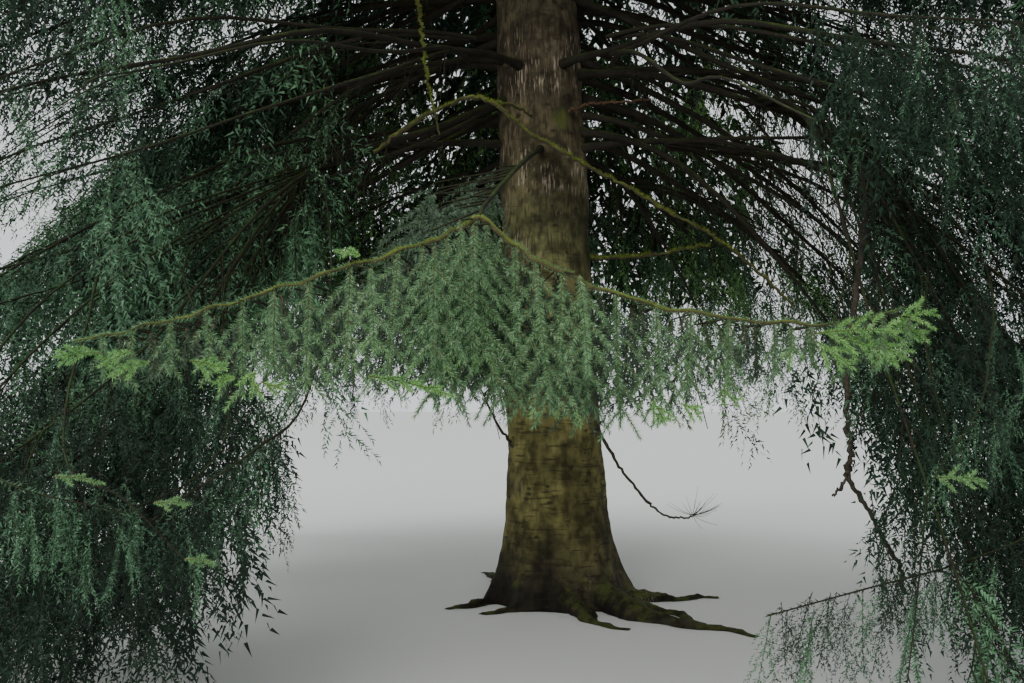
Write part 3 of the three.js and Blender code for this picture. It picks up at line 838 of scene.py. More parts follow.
def growBough(bough, heightAt, growth, random, kind="bough", leafFrom=None, parent=None):
    reach = bough["reach"]
    leafFrom = growth["leafFrom"] if leafFrom is None else leafFrom
    pointAt, phase = boughLine(bough, heightAt, growth["wobble"], parent, random)
    count = growth["boughPoints"]
    base = parent["at"] if parent else float(trunkRadius(bough["leave"])) * boughForm["inTrunk"]
    distance = np.linspace(base, reach * boughForm["end"], count)
    path = pointAt(distance)
    share = (distance - base) / (reach - base)
    thick = bough.get("thick", reach * growth["thickness"])
    tip = boughForm["tip"]
    ripple = 1 + boughForm["ripple"] * np.sin(distance * boughForm["rippleWave"] + phase)
    swell = 0 if parent else growth["swell"]
    radii = (tip + (thick - tip) * (1 - share) ** boughForm["taper"]) * ripple
    radii = radii * (1 + swell * np.exp(-(distance - base) / boughForm["swellReach"]))
    if bough["tier"] in lowerNames:
        onGround = onOpenGround(*inPicture(*path.T))
        if onGround.any():
            path = path[:max(3, int(np.argmax(onGround)))]
            radii = radii[:len(path)]
        clad.append((bough["tier"], path[int(leafFrom * count):][None]))
    addWood(kind, [path], [radii], growth["sides"])
    whips = growBranches(bough, pointAt, base, leafFrom, growth, random)

    # Sprays and bare whips that hang from the bough itself.
    spacing = growth["sprayEvery"] * boughForm["sprayRoom"]
    for k in range(int((1 - leafFrom) * reach / spacing)):
        if random.random() > growth["density"]:
            continue
        away = leafFrom * reach + (k + random.random()) * spacing
        if away < base:
            continue
        yaw = math.radians(bough["azimuth"]) + 0.6 * random.normal()
        size = growth["spraySize"] * (0.8 + 0.4 * random.random())
        hangSpray(bough["tier"], pointAt(np.array([away]))[0], yaw, size, growth, random)
    if growth["whipEvery"]:
        for k in range(int(leafFrom * reach / growth["whipEvery"])):
            away = max(0.12 * reach, base) + k * growth["whipEvery"] * (0.9 + 0.2 * random.random())
            whips.append(pointAt(np.array([away]))[0])
        hangWhips(whips, random)


# Bare hanging twigs, as the shaded inside of the crown has. None hangs into the open ground beside the trunk.
whip = {
    "shortest": 0.18, "longer": 0.55, "drift": 0.3, "radius": 0.0038, "side": 0.35, "behind": 1.2,
    "leftOut": 0.6, "left": 250, "right": 860, "clearBelow": 370,
}


def hangWhips(places, random):
    paths = []
    t = np.linspace(0, 1, 4)
    for place in places:
        length = min(whip["shortest"] + whip["longer"] * random.random() ** 1.3, place[2] - 0.1)
        drift = random.normal(size=2) * whip["drift"] * length
        if place[1] > whip["behind"] and random.random() < whip["leftOut"]:
            continue
        x = place[0] + drift[0] * t**1.5
        y = place[1] + drift[1] * t**1.5
        path = np.stack([x, y, place[2] - length * t], axis=1)
        across, down, _ = inPicture(*path.T)
        clear = (across > whip["left"]) & (across < whip["right"]) & (down > whip["clearBelow"])
        if clear.any() or staysOpen(*path.T).any():
            continue
        paths.append(path)
        for _ in range(int(random.random() * 2.4)):
            start = 1 + int(random.random() * 2)
            heading = unit(np.array([random.normal(), random.normal(), -1.4]))
            droop = np.array([0, 0, -0.1 * length])
            paths.append(path[start] + heading * length * whip["side"] * t[:, None] + droop * t[:, None] ** 2)
    if paths:
        addWood("twig", paths, whip["radius"] * (1 - 0.7 * t), 3)


def ruleHeight(leave, drop=0.0, reach=1.0):
    def heightAt(distance, azimuth):
        return boughHeight(leave, azimuth, distance) - drop * (distance / reach) ** 2
    return heightAt


def drawnHeight(leave, rise, sag):
    def heightAt(distance, azimuth):
        return leave + rise * distance - sag * distance**2
    return heightAt


# Boughs that the picture shows one by one: azimuth, height at the trunk, rise, sag, reach, thickness, and the
# share of the reach where leaves start.
shownBoughs = [
    (20, 4.62, 0.08, 0.065, 4.6, 0.036, 0.66), (35, 4.45, 0.4, 0.21, 4.3, 0.032, 0.66),
    (-5, 4.28, -0.25, 0.17, 3.7, 0.034, 0.66), (5, 3.94, -0.07, 0.23, 3.5, 0.036, 0.7),
    (-28, 3.59, 0.06, 0.36, 2.8, 0.034, 0.66), (28, 3.56, 0.08, 0.17, 4.0, 0.034, 0.66),
    (45, 3.4, 0.31, 0.34, 3.0, 0.026, 0.7), (-12, 5.05, 0.16, 0.25, 4.2, 0.034, 0.7),
    (-20, 4.8, -0.5, 0.02, 4.6, 0.03, 0.62), (12, 4.1, -0.1, 0.16, 4.2, 0.03, 0.66),
    (-15, 3.75, -0.05, 0.2, 3.7, 0.028, 0.64), (175, 5.06, -0.6, -0.03, 4.9, 0.03, 0.44),
    (-172, 4.42, -0.24, 0.18, 3.7, 0.028, 0.48), (165, 4.28, 0.1, 0.26, 3.6, 0.026, 0.5),
    (-165, 3.82, -0.37, 0.09, 4.1, 0.024, 0.42), (170, 3.9, -0.06, 0.24, 3.4, 0.025, 0.5),
    (155, 4.7, -0.3, 0.08, 4.6, 0.026, 0.5), (-146, 4.0, -0.6, -0.02, 4.6, 0.018, 0.3),
    (-150, 4.13, 0.1, 0.25, 3.6, 0.024, 0.42),
]

# More boughs in each sector between those of the solids: share of half sector, of height, of reach.
# Those of the low tier leave the trunk close together and drop further. On the bare side leaves start late.
lowerFill = [(-0.66, 0.35, 0.97), (0.62, 0.6, 0.94), (-0.3, 0.85, 0.98), (0.25, 0.2, 0.9)]
fillLook = {
    "thick": 0.017, "lowFoot": 3.3, "lowRoom": 0.55, "lowDrop": 0.8, "dropBelow": 3.5, "leftOut": 0.3,
    "bareFrom": -40, "bareTo": 45, "bareLeaf": 0.62, "leaf": 0.38, "laterLeaf": 0.04,
}

# Steep boughs on both sides of the forked one, whose sprays hang to the ground beside the open middle, as in
# shownBoughs but without a thickness. They fork from a stem on each side of the trunk.
sideBoughs = [
    (-135, 3.5, -0.98, -0.045, 4.7, 0.36), (-131, 3.4, -0.8, 0.0, 4.0, 0.5),
    (-127, 3.62, -0.9, -0.04, 4.9, 0.4), (-123, 3.5, -0.86, -0.03, 4.5, 0.55),
    (-119, 3.6, -0.68, -0.02, 5.0, 0.6), (-113, 3.75, -0.5, 0.01, 5.0, 0.62),
    (-139, 3.3, -0.75, -0.02, 4.6, 0.4), (-143, 3.8, -0.75, -0.015, 5.1, 0.36),
    (-150, 3.4, -0.8, -0.02, 4.7, 0.42), (-73, 4.0, -0.1, 0.145, 5.0, 0.72),
    (-69, 4.1, -0.1, 0.165, 4.8, 0.74), (-65, 4.25, -0.15, 0.15, 5.0, 0.56),
    (-60, 4.0, -0.05, 0.19, 4.6, 0.54), (-56, 4.2, -0.1, 0.17, 4.9, 0.5), (-51, 4.0, -0.05, 0.2, 4.5, 0.48),
    (-46, 4.2, -0.1, 0.18, 4.8, 0.46), (-38, 4.1, -0.1, 0.185, 4.7, 0.46),
]
sideStems = {"left": (-150, 3.95, -0.45, 0.0), "right": (-22, 4.05, -0.02, 0.12)}
sideLook = {"thick": 0.014, "stemReach": 4.4, "stemThick": 0.036, "stemLeaf": 0.62}

# Low branches that droop from the side stems to the corners of the picture, with sprays on their lower part:
# room between sprays, their size, how far they stand aside, then the points after the foot on the stem.
rowLook = {
    "points": 28, "leafFrom": 0.42, "thick": 0.007, "thin": 0.0025,
    "leftFoot": (-1.69, -0.9, 3.14), "rightFoot": (1.94, -0.82, 3.4),
}
sprayRows = [
    (0.045, 0.9, 0.22, [(-1.9, -1.5, 2.2), (-1.95, -1.75, 1.5), (-2.05, -2.0, 1.05), (-2.4, -2.45, 0.7)]),
    (0.035, 0.95, 0.25, [(-2.0, -2.0, 2.2), (-1.75, -2.8, 1.5), (-1.9, -3.3, 1.0), (-2.5, -3.8, 0.7)]),
    (0.04, 0.8, 0.22, [(-2.1, -2.4, 2.3), (-1.6, -3.4, 1.6), (-1.6, -3.8, 1.2), (-2.2, -4.3, 0.95)]),
    (0.034, 1.0, 0.42, [(-2.5, -1.9, 2.3), (-2.9, -2.7, 1.6), (-2.6, -3.1, 1.15), (-2.0, -3.3, 0.85)]),
    (0.034, 1.0, 0.45, [(-2.3, -1.4, 2.3), (-3.0, -2.0, 1.6), (-3.3, -2.4, 1.15), (-3.5, -2.7, 0.8)]),
    (0.036, 0.9, 0.4, [(-2.6, -2.5, 2.2), (-2.7, -3.5, 1.4), (-2.35, -3.8, 1.0), (-1.95, -3.9, 0.7)]),
    (0.03, 0.62, 0.05, [
        (-1.3, -2.6, 2.2), (-1.15, -3.9, 1.52), (-1.24, -4.33, 1.33), (-1.45, -4.4, 1.18),
        (-1.72, -4.45, 0.97)]),
    (0.03, 0.5, 0.05, [(-2.3, -2.6, 2.2), (-2.35, -4.0, 1.45), (-1.96, -4.6, 1.26), (-1.56, -4.6, 1.15)]),
    (0.05, 0.42, 0.06, [
        (-2.3, -2.6, 2.4), (-2.05, -3.8, 1.75), (-1.8, -4.5, 1.32), (-1.55, -4.65, 1.2),
        (-1.36, -4.66, 1.02)]),
    (0.032, 0.5, 0.1, [
        (2.7, -2.3, 2.1), (2.3, -3.4, 1.3), (1.75, -3.7, 1.0), (1.35, -3.85, 0.88), (0.95, -3.95, 0.8),
        (0.55, -4.05, 0.72)]),
    (0.03, 0.95, 0.25, [(1.9, -1.9, 2.6), (1.5, -2.7, 1.9), (1.55, -3.1, 1.3), (1.9, -3.3, 0.75)]),
    (0.03, 0.85, 0.2, [(1.9, -2.2, 2.4), (1.5, -3.2, 1.75), (1.5, -3.6, 1.15), (1.8, -3.8, 0.6)]),
    (0.034, 1.0, 0.4, [(2.4, -1.8, 2.5), (2.3, -2.5, 1.8), (2.3, -2.8, 1.25), (2.5, -3.0, 0.8)]),
    (0.06, 0.45, 0.06, [(1.9, -2.8, 2.3), (1.35, -4.1, 1.6), (0.93, -4.62, 1.26)]),
]


def growDrawn(drawn, tier, reach, thick, leafFrom, random, **options):
    azimuth, leave, rise, sag = drawn
    bough = {"azimuth": azimuth, "leave": leave, "reach": reach, "thick": thick, "tier": tier}
    growBough(bough, drawnHeight(leave, rise, sag), lowerGrowth, random, leafFrom=leafFrom, **options)


def growSprayRows(random):
    count = rowLook["points"]
    for every, usual, spread, points in sprayRows:
        foot = rowLook["rightFoot" if points[0][0] > 0 else "leftFoot"]
        path = smoothPath([foot, *points], count)
        addWood("twig", [path], [np.linspace(rowLook["thick"], rowLook["thin"], count)], 6)
        leafy = path[int(count * rowLook["leafFrom"]):]
        clad.append(("low", leafy[None]))
        length = np.linalg.norm(np.diff(leafy, axis=0), axis=1).sum()
        run = leafy[-1] - leafy[0]
        yaw = math.atan2(run[1], run[0])
        aside = unit(np.array([-run[1], run[0], 0.0]))
        for _ in range(int(length / every)):
            spot = alongPath(leafy, random.random()) + aside * spread * random.normal()
            size = usual * (0.75 + 0.5 * random.random())
            tilt = -0.25 + 0.2 * random.normal()
            addSpot("low", spot, yaw + 0.4 * random.normal(), tilt, 0.2 * random.normal(), size)


def growLowerTier(tier, boughs, random):
    look = fillLook
    for bough in boughs:
        if bough["front"]:
            continue
        facing = (bough["middle"] + 180) % 360 - 180
        leafFrom = look["bareLeaf"] if look["bareFrom"] < facing < look["bareTo"] else look["leaf"]
        heightAt = ruleHeight(bough["leave"])
        growBough(bough, heightAt, lowerGrowth, random, leafFrom=leafFrom)
        parent = {"azimuth": bough["azimuth"], "heightAt": heightAt, "at": forking["fill"]}
        for turn, height, share in lowerFill:
            if tier[0] != "low" and random.random() < look["leftOut"]:
                continue
            leave = bough["foot"] + (bough["top"] - bough["foot"]) * height
            drop = 0.0
            if tier[0] == "low":
                drop = look["lowDrop"] * (look["dropBelow"] - leave)
                leave = look["lowFoot"] + look["lowRoom"] * height
            azimuth = bough["middle"] + turn * bough["half"]
            extra = dict(bough, leave=leave, azimuth=azimuth, thick=look["thick"])
            extra["reach"] = float(crownRadius(leave)) * share * tier[6]
            fillHeight = ruleHeight(leave, drop, extra["reach"])
            later = leafFrom + look["laterLeaf"]
            growBough(extra, fillHeight, lowerGrowth, random, leafFrom=later, parent=parent)


def growLowerCrown(random):
    number = 1
    for tier in lowerTiers:
        growLowerTier(tier, boughsOf(tier, True, number), random)
        number += tier[4]
    for *drawn, reach, leafFrom in sideBoughs:
        stem = sideStems["right" if drawn[0] > crown["frontAzimuth"] else "left"]
        parent = {"azimuth": stem[0], "heightAt": drawnHeight(*stem[1:]), "at": forking["side"]}
        growDrawn(drawn, "low", reach, sideLook["thick"], leafFrom, random, kind="twig", parent=parent)
    for stem in sideStems.values():
        growDrawn(stem, "low", sideLook["stemReach"], sideLook["stemThick"], sideLook["stemLeaf"], random)
    growSprayRows(random)
    for *drawn, reach, thick, leafFrom in shownBoughs:
        growDrawn(drawn, "high" if drawn[1] > 3.98 else "middle", reach, thick, leafFrom, random)


# Boughs behind the trunk, seen through the crown: azimuth, height at the trunk, reach.
backThick = 0.03
backBoughs = [
    (60, 4.8, 4.5), (128, 4.5, 4.6), (150, 4.75, 4.4), (76, 3.5, 4.6), (122, 3.4, 4.6), (100, 4.5, 4.6),
    (136, 3.8, 4.6), (142, 4.8, 4.5), (158, 4.4, 4.5), (104, 3.7, 4.6), (165, 3.7, 4.5), (172, 4.7, 4.6),
    (42, 4.4, 4.5), (24, 4.8, 4.5),
]


def growBackBoughs(random):
    for azimuth, leave, reach in backBoughs:
        tier = "high" if leave > 4 else "middle"
        bough = {"azimuth": azimuth, "leave": leave, "reach": reach, "thick": backThick, "tier": tier}
        growBough(bough, ruleHeight(leave), backGrowth, random)


# Fillers between the upper boughs, turned by the golden ratio, one to each patch of this many square metres.
fillers = {
    "lowerPatch": 0.62, "upperPatch": 0.4, "upperFrom": 4, "leastWidth": 2.2, "golden": 0.6180339887,
    "spread": 0.97, "reach": 0.86, "reachMore": 0.13, "thick": 0.016, "thickPerMetre": 0.004,
}


def growUpperCrown(random):
    number = 1 + sum(tier[4] for tier in lowerTiers)
    for index, tier in enumerate(upperTiers):
        foot, top = tier[1:3]
        patch = fillers["lowerPatch" if index < fillers["upperFrom"] else "upperPatch"]
        for bough in boughsOf(tier, False, number):
            growBough(bough, ruleHeight(bough["leave"]), upperGrowth, random)
            width = math.radians(2 * bough["half"]) * float(crownRadius((foot + top) / 2))
            rows = int((top - foot) * max(width, fillers["leastWidth"]) / patch)
            for k in range(rows):
                leave = foot + (top - foot) * (k + 0.5) / rows
                around = ((k * fillers["golden"]) % 1) * 2 - 1
                azimuth = bough["middle"] + around * bough["half"] * fillers["spread"]
                share = fillers["reach"] + fillers["reachMore"] * random.random()
                reach = float(crownRadius(leave)) * share
                thick = fillers["thick"] + fillers["thickPerMetre"] * reach
                extra = dict(bough, leave=leave, azimuth=azimuth, reach=reach, thick=thick)
                growBough(extra, ruleHeight(leave), upperGrowth, random)
        number += tier[4]


random = np.random.default_rng(7)
growLowerCrown(random)
growUpperCrown(random)
growBackBoughs(np.random.default_rng(23))
print("limbs grown:", {kind: len(parts) for kind, parts in wood.items()})

# Sprays at five levels of detail. A front needle is true to size, and far ones stand for several.
nearSpray = {
    "points": 5, "bend": 0.08, "first": 0.04, "spacing": 0.08, "longest": 0.25, "usual": 0.45, "spread": 50,
    "swing": 14, "droop": 0.5, "perMetre": 96, "length": 0.029, "width": 0.0088, "lean": 53,
    "leanScatter": 0.2, "flat": 0.7, "twist": 0.5, "plane": (0, 1, 0),
}
sprayLooks = {
    "front": dict(
        nearSpray, points=6, bend=0.05, first=0.05, spacing=0.062, longest=0.15, usual=0.36, spread=58,
        swing=8, droop=0.42, perMetre=1150, length=0.016, width=0.0024, lean=56, leanScatter=0.08, flat=0.9,
    ),
    "near": nearSpray, "nearShade": dict(nearSpray, perMetre=70, length=0.03, width=0.009, lean=50),
    "middle": dict(
        nearSpray, points=4, bend=0.1, first=0.05, spacing=0.1, longest=0.26, spread=46, swing=24,
        perMetre=31, length=0.056, width=0.0155, lean=40, leanScatter=0.25,
    ),
    "far": dict(
        nearSpray, points=3, bend=0.1, first=0.06, spacing=0.16, longest=0.26, spread=44, swing=34, droop=0.3,
        perMetre=10, length=0.14, width=0.06, lean=30, leanScatter=0.4, flat=0.8,
    ),
}
sprayLength = 0.46
stemRadius = 0.0022
variants = 4


def makeTemplates(random):
    templates = {}
    for level in ("near", "middle", "far", "nearShade"):
        look = sprayLooks[level]
        templates[level] = []
        for k in range(variants):
            shoots = growSpray(sprayLength * (0.85 + 0.1 * k), look, random)
            needles = needlesOn(shoots, look, random)
            stems = None
            if level != "far":
                path = shoots[:1, ::3] if level == "middle" else shoots[:1, ::2]
                vertices, faces = tubes(path, stemRadius * np.linspace(1.2, 0.5, path.shape[1])[None], 3)
                stems = vertices[faces]
            templates[level].append((needles, stems))
    return templates


# Which detail a spray gets: fine in front of the camera, plainer with distance and where no view comes near.
viewEdges = {
    "across": 0.55, "above": 0.42, "nearMargin": (0.2, 0.35), "middleMargin": (0.45, 0.75),
    "from": 0.3, "nearTo": 5.4, "nearShade": 4.4, "middleTo": 10.2, "lowTo": 3.0,
    "overhead": 0.4, "overheadTo": 2.5,
}


def levelsOf(places):
    offset = places - np.array(cameraView["place"])
    depth = offset[:, 1]
    aside = np.abs(offset[:, 0]) - viewEdges["across"] * depth
    above = offset[:, 2] - viewEdges["above"] * depth
    overhead = viewEdges["overhead"] * np.clip(viewEdges["overheadTo"] - depth, 0, 1)
    nearAside, nearAbove = viewEdges["nearMargin"]
    middleAside, middleAbove = viewEdges["middleMargin"]
    near = (aside < nearAside) & (above < nearAbove + overhead) & (depth > viewEdges["from"])
    near &= depth < viewEdges["nearTo"]
    middle = (aside < middleAside) & (above < middleAbove) & (depth > 0) & ~near
    middle &= (depth < viewEdges["middleTo"]) | (places[:, 2] < viewEdges["lowTo"])
    return np.where(near, 0, np.where(middle, 1, 2))


# Sprays in the shade of the crown, which get darker needles, painted shade: low ones, and shares of those at
# its right, its upper left and its corner.
shaded = {
    "from": 2.25, "over": 0.95, "right": 800, "rightShare": 0.85, "left": 490, "top": 230, "leftShare": 0.15,
    "corner": 250, "cornerTop": 120, "cornerShare": 0.75,
    "litLeft": 3.45, "litRight": 3.9, "litBelow": 370, "litShare": 0.55,
}


def inShade(places, random):
    share = np.clip((shaded["from"] - places[:, 2]) / shaded["over"], 0, 1)
    across, down, depth = inPicture(*places.T)
    right = across > shaded["right"]
    left = (across < shaded["left"]) & (down < shaded["top"])
    corner = (across < shaded["corner"]) & (down < shaded["cornerTop"])
    for inside, least in ((right, "rightShare"), (left, "leftShare"), (corner, "cornerShare")):
        share = np.where(inside, np.maximum(share, shaded[least]), share)
    # Close in front of the camera and low down, fewer sprays are shaded: painted front light.
    lit = depth < np.where(across < picture["middle"], shaded["litLeft"], shaded["litRight"])
    lit &= down > shaded["litBelow"]
    return random.random(len(places)) < np.where(lit, np.minimum(share, shaded["litShare"]), share)


# Sprays on the far side of the crown, low down, with lighter needles as if daylight shone through them:
# painted light.
backlit = {"behind": 0.8, "below": 5.2, "share": 0.5}

# Where sprays are thinned out: far behind the trunk's right side, and at the picture's left edge.
thinBehind = {"left": 595, "right": 830, "bottom": 340, "beyond": 8, "kept": 0.7}
thinEdge = {"right": 165, "slope": 0.75, "top": 55, "from": 0.5, "to": 9.0, "kept": 0.3}

# How far below its root a spray looks for open space, and how small it may become above the ground.
hanging = {"below": 0.2, "aboveGround": 0.06, "least": 0.35, "inside": 0.02}


def keptShare(places):
    across, down, depth = inPicture(*places.T)
    behind = (across > thinBehind["left"]) & (across < thinBehind["right"])
    behind &= (down < thinBehind["bottom"]) & (depth > thinBehind["beyond"])
    edge = across < thinEdge["right"] - thinEdge["slope"] * (down - thinEdge["top"])
    edge &= (down > thinEdge["top"]) & (depth < thinEdge["to"]) & (depth > thinEdge["from"])
    return np.where(behind, thinBehind["kept"], np.where(edge, thinEdge["kept"], 1.0))


# The sprays of a tier that stay, pulled inside the crown and shortened above the ground.
def settleSprays(rows, random):
    table = np.array(rows)
    table = table[~staysOpen(table[:, 0], table[:, 1], table[:, 2] - hanging["below"])]
    table = table[random.random(len(table)) < keptShare(table[:, :3])]
    for axis in (0, 1):
        low, high = cadBox[0][axis] + hanging["inside"], cadBox[1][axis] - hanging["inside"]
        table[:, axis] = np.clip(table[:, axis], low, high)
    table[:, 6] = np.minimum(table[:, 6], (table[:, 2] - hanging["aboveGround"]) / sprayLength)
    return table[table[:, 6] > hanging["least"]]


# Only needles above the ground and within the crown's outline stay.
def insideCrown(leaves):
    clear = leaves[:, :, 2].min(axis=1) > groundGap
    for axis in (0, 1):
        clear &= leaves[:, :, axis].min(axis=1) > cadBox[0][axis] - crownOver
        clear &= leaves[:, :, axis].max(axis=1) < cadBox[1][axis] + crownOver
    return leaves[clear]


def dressCrown(templates, random):
    needles = {}
    stems = []
    for tier, rows in spots.items():
        table = settleSprays(rows, random)
        level = levelsOf(table[:, :3])
        # The tone picks a spray's needles: shade is darker, painted shade, and bright is lighter, painted
        # light.
        tone = np.where(inShade(table[:, :3], random), "shade", "light").astype("<U6")
        distant = table[:, 1] - cameraView["place"][1] > viewEdges["nearShade"]
        level[(level == 0) & (tone == "shade") & distant] = 1
        bright = (table[:, 1] > backlit["behind"]) & (table[:, 2] < backlit["below"]) & (level < 2)
        tone[bright & (random.random(len(table)) < backlit["share"])] = "bright"
        pick = random.integers(0, variants, len(table))
        kinds = product(enumerate(("near", "middle", "far")), range(variants), ("light", "shade", "bright"))
        for (index, name), k, tint in kinds:
            chosen = table[(level == index) & (pick == k) & (tone == tint)]
            if not len(chosen):
                continue
            simple = name == "near" and tint == "shade"
            leafTriangles, stemTriangles = templates["nearShade" if simple else name][k]
            needles.setdefault((tier, name, tint), []).append(insideCrown(copiesOf(leafTriangles, chosen)))
            if stemTriangles is not None:
                twigs = copiesOf(stemTriangles, chosen)
                stems.append(twigs[twigs[:, :, 2].min(axis=1) > groundGap])
        print("dressed", tier, "near, middle, far:", [int((level == k).sum()) for k in range(3)])
    return needles, stems


# Needles that sit on the branches themselves, where the picture sees them, finer up to a distance.
cladding = {
    "plane": (0, 0, 1), "perMetre": 52, "length": 0.036, "width": 0.0115, "lean": 52, "leanScatter": 0.25,
    "flat": 0.8, "twist": 0.5,
}
fineCladding = dict(cladding, perMetre=130, length=0.022, width=0.0058, lean=56)
fineTo = 5.0


def cladBranches(needles, random):
    for tier, paths in clad:
        if paths.shape[1] < 2 or levelsOf(paths[:, paths.shape[1] // 2]).max() > 1:
            continue
        close = paths[0, -1, 1] - cameraView["place"][1] < fineTo
        leaves = needlesOn(paths, fineCladding if close else cladding, random)
        foot = leaves[:, 0]
        clear = ~staysOpen(foot[:, 0], foot[:, 1], foot[:, 2]) & (leaves[:, :, 2].min(axis=1) > groundGap)
        # A branch's cladding takes the tone of the sprays at its place: painted shade or painted light.
        dark = inShade(foot[:1], random)[0]
        behind = foot[0, 1] > backlit["behind"] and random.random() < backlit["share"]
        tone = "bright" if behind else "shade" if dark else "light"
        if clear.any():
            needles.setdefault((tier, "clad", tone), []).append(leaves[clear])


templates = makeTemplates(random)
needles, stems = dressCrown(templates, random)
cladBranches(needles, np.random.default_rng(11))


# The forked tip of the front bough: two arms, combs hanging in rows in front of and behind them, fresh tips.
# A row: how far back, how far down, share of combs, look, needles to the metre and their width. The rows
# behind the arms have the darker shade needles, painted shade.
fork = {
    "left": [
        (-0.46, -4.9, 2.02), (-0.6, -4.93, 1.945), (-0.94, -4.97, 1.83), (-1.25, -5.0, 1.73),
        (-1.55, -5.02, 1.655),
    ],
    "right": [
        (-0.46, -4.9, 2.02), (-0.28, -4.9, 1.885), (0.06, -4.87, 1.765), (0.52, -4.8, 1.72),
        (0.8, -4.74, 1.77),
    ],
    "armRadius": 0.0085, "tipRadius": 0.003,
    "edge": [
        (-1.55, 1.6), (-1.07, 1.53), (-0.5, 1.5), (-0.15, 1.44), (0.05, 1.44), (0.2, 1.5), (0.45, 1.57),
        (0.9, 1.6),
    ],
    "edgeScatter": 0.022, "every": 0.088,
    "rows": [
        (0.0, 0.0, 1.0, "front", 1150, 0.0023),
        (0.1, 0.0, 0.9, "shade", 500, 0.0042),
        (0.22, 0.0, 0.9, "shade", 400, 0.0052),
        (0.36, 0.01, 0.9, "shade", 310, 0.0066),
        (0.52, 0.02, 0.9, "shade", 240, 0.008),
        (-0.09, -0.02, 0.28, "front", 1150, 0.0023),
    ],
    "mainNeedles": {"length": 0.0195, "lean": 56, "flat": 0.7}, "mainShare": 1.35, "tipShare": 0.3,
    "tipDepth": 0.05, "armNeedles": {"perMetre": 1300, "length": 0.018, "lean": 60, "flat": 1.0},
    "moss": {"perMetre": 1500, "length": 0.0135, "width": 0.004, "lean": 78, "flat": 1.0},
}
veil = {
    "count": 26, "from": 0.5, "to": 0.97, "left": 0.62, "length": 0.36,
    "needles": dict(sprayLooks["near"], perMetre=300, length=0.022, width=0.006, lean=48),
}

# Fresh shoots: foot, heading across and up, length, side shoots, how far they spread, their length.
freshShoots = [
    ((-0.76, -4.95, 1.565), (1, -0.12), 0.235, 7, 28, 0.045),
    ((-1.06, -4.96, 1.58), (-0.2, -1), 0.06, 2, 62, 0.055),
    ((-1.11, -4.97, 1.56), (-1, -0.15), 0.06, 2, 40, 0.035),
    ((-1.04, -4.96, 1.545), (1, -0.2), 0.065, 2, 40, 0.035),
    ((-1.23, -4.99, 1.605), (1, -0.12), 0.1, 4, 35, 0.04),
    ((-1.33, -5.0, 1.6), (-1, -0.2), 0.11, 4, 38, 0.045),
    ((-1.46, -5.01, 1.625), (-1, 0.02), 0.12, 5, 38, 0.05),
    ((-1.38, -5.0, 1.63), (-1, -0.35), 0.09, 3, 40, 0.045),
    ((0.5, -4.8, 1.69), (1, 0.14), 0.24, 8, 48, 0.085),
    ((0.72, -4.76, 1.72), (1, 0.42), 0.15, 5, 44, 0.075), ((0.7, -4.75, 1.7), (1, 0.1), 0.14, 5, 42, 0.065),
    ((0.56, -4.78, 1.68), (1, -0.2), 0.17, 5, 46, 0.065),
    ((0.5, -4.79, 1.67), (0.8, -0.5), 0.13, 4, 44, 0.06),
    ((0.66, -4.76, 1.67), (1, -0.32), 0.13, 4, 44, 0.055),
    ((0.02, -4.87, 1.5), (0.5, -0.8), 0.07, 4, 48, 0.045),
    ((0.1, -4.86, 1.49), (0.9, -0.3), 0.06, 3, 42, 0.04),
    ((0.22, -4.85, 1.53), (0.6, -0.6), 0.06, 2, 42, 0.035),
    ((-0.78, -4.96, 1.89), (-0.9, 0.3), 0.07, 2, 35, 0.03),
    ((-1.75, -4.62, 1.27), (1, -0.02), 0.15, 3, 24, 0.04),
    ((-1.45, -4.62, 1.19), (1, 0.1), 0.11, 3, 26, 0.04), ((-1.36, -4.6, 1.02), (1, 0.0), 0.09, 3, 30, 0.04),
    ((0.93, -4.55, 1.26), (1, 0.06), 0.16, 5, 38, 0.06),
]
freshNeedles = {"perMetre": 1900, "length": 0.0125, "width": 0.0024, "lean": 62, "flat": 1.0}
freshLook = {"forward": 0.06, "sag": 0.12, "sideDroop": 0.15, "dullBelow": 1.4}


def stemsOf(shoots):
    radii = np.linspace(0.0017, 0.0008, shoots.shape[1]) * np.ones((len(shoots), 1))
    radii[0] *= 1.35
    return tubes(shoots, radii, 3)


def makeFresh(random):
    look = dict(sprayLooks["front"], **freshNeedles)
    parts = {"fresh": [], "tip": []}
    stemParts = []
    t = np.linspace(0, 1, look["points"])[:, None]
    for place, (over, up), length, sides, opening, longest in freshShoots:
        foot = np.array(place) + np.array([0, -freshLook["forward"], 0])
        forward = unit(np.array([over, 0.0, up]))
        aside = np.array([-forward[2], 0.0, forward[0]])
        sagging = np.array([0, 0, -freshLook["sag"] * length])
        shoots = [foot + forward * length * t + sagging * t**2]
        for k in range(sides):
            share = 0.12 + 0.8 * k / sides
            spread = math.radians(0.8 * opening + 6 * random.normal()) * (1 if k % 2 else -1)
            towards = forward * math.cos(spread) + aside * math.sin(spread)
            towards = unit(towards + np.array([0, 0.25 * random.normal(), 0]))
            size = longest * (1.15 - 0.6 * share) * (0.85 + 0.3 * random.random())
            start = foot + forward * length * share + sagging * share**2
            droop = np.array([0, 0, -freshLook["sideDroop"] * size])
            shoots.append(start + towards * size * t + droop * t**2)
        shoots = np.array(shoots)
        kind = "tip" if place[2] < freshLook["dullBelow"] else "fresh"
        parts[kind].append(needlesOn(shoots, look, random))
        stemParts.append(stemsOf(shoots))
    return {name: np.concatenate(leaves) for name, leaves in parts.items()}, stemParts


def turnOnce(yaw, tilt, sway):
    return turnMatrices(*np.array([[yaw], [tilt], [sway]]))[0]


# A short twig from a limb to the root of a comb.
def addLink(spot, root, thick):
    addWood("twig", [smoothPath([spot, root], 4)], [np.linspace(thick, 0.0022, 4)], 4)


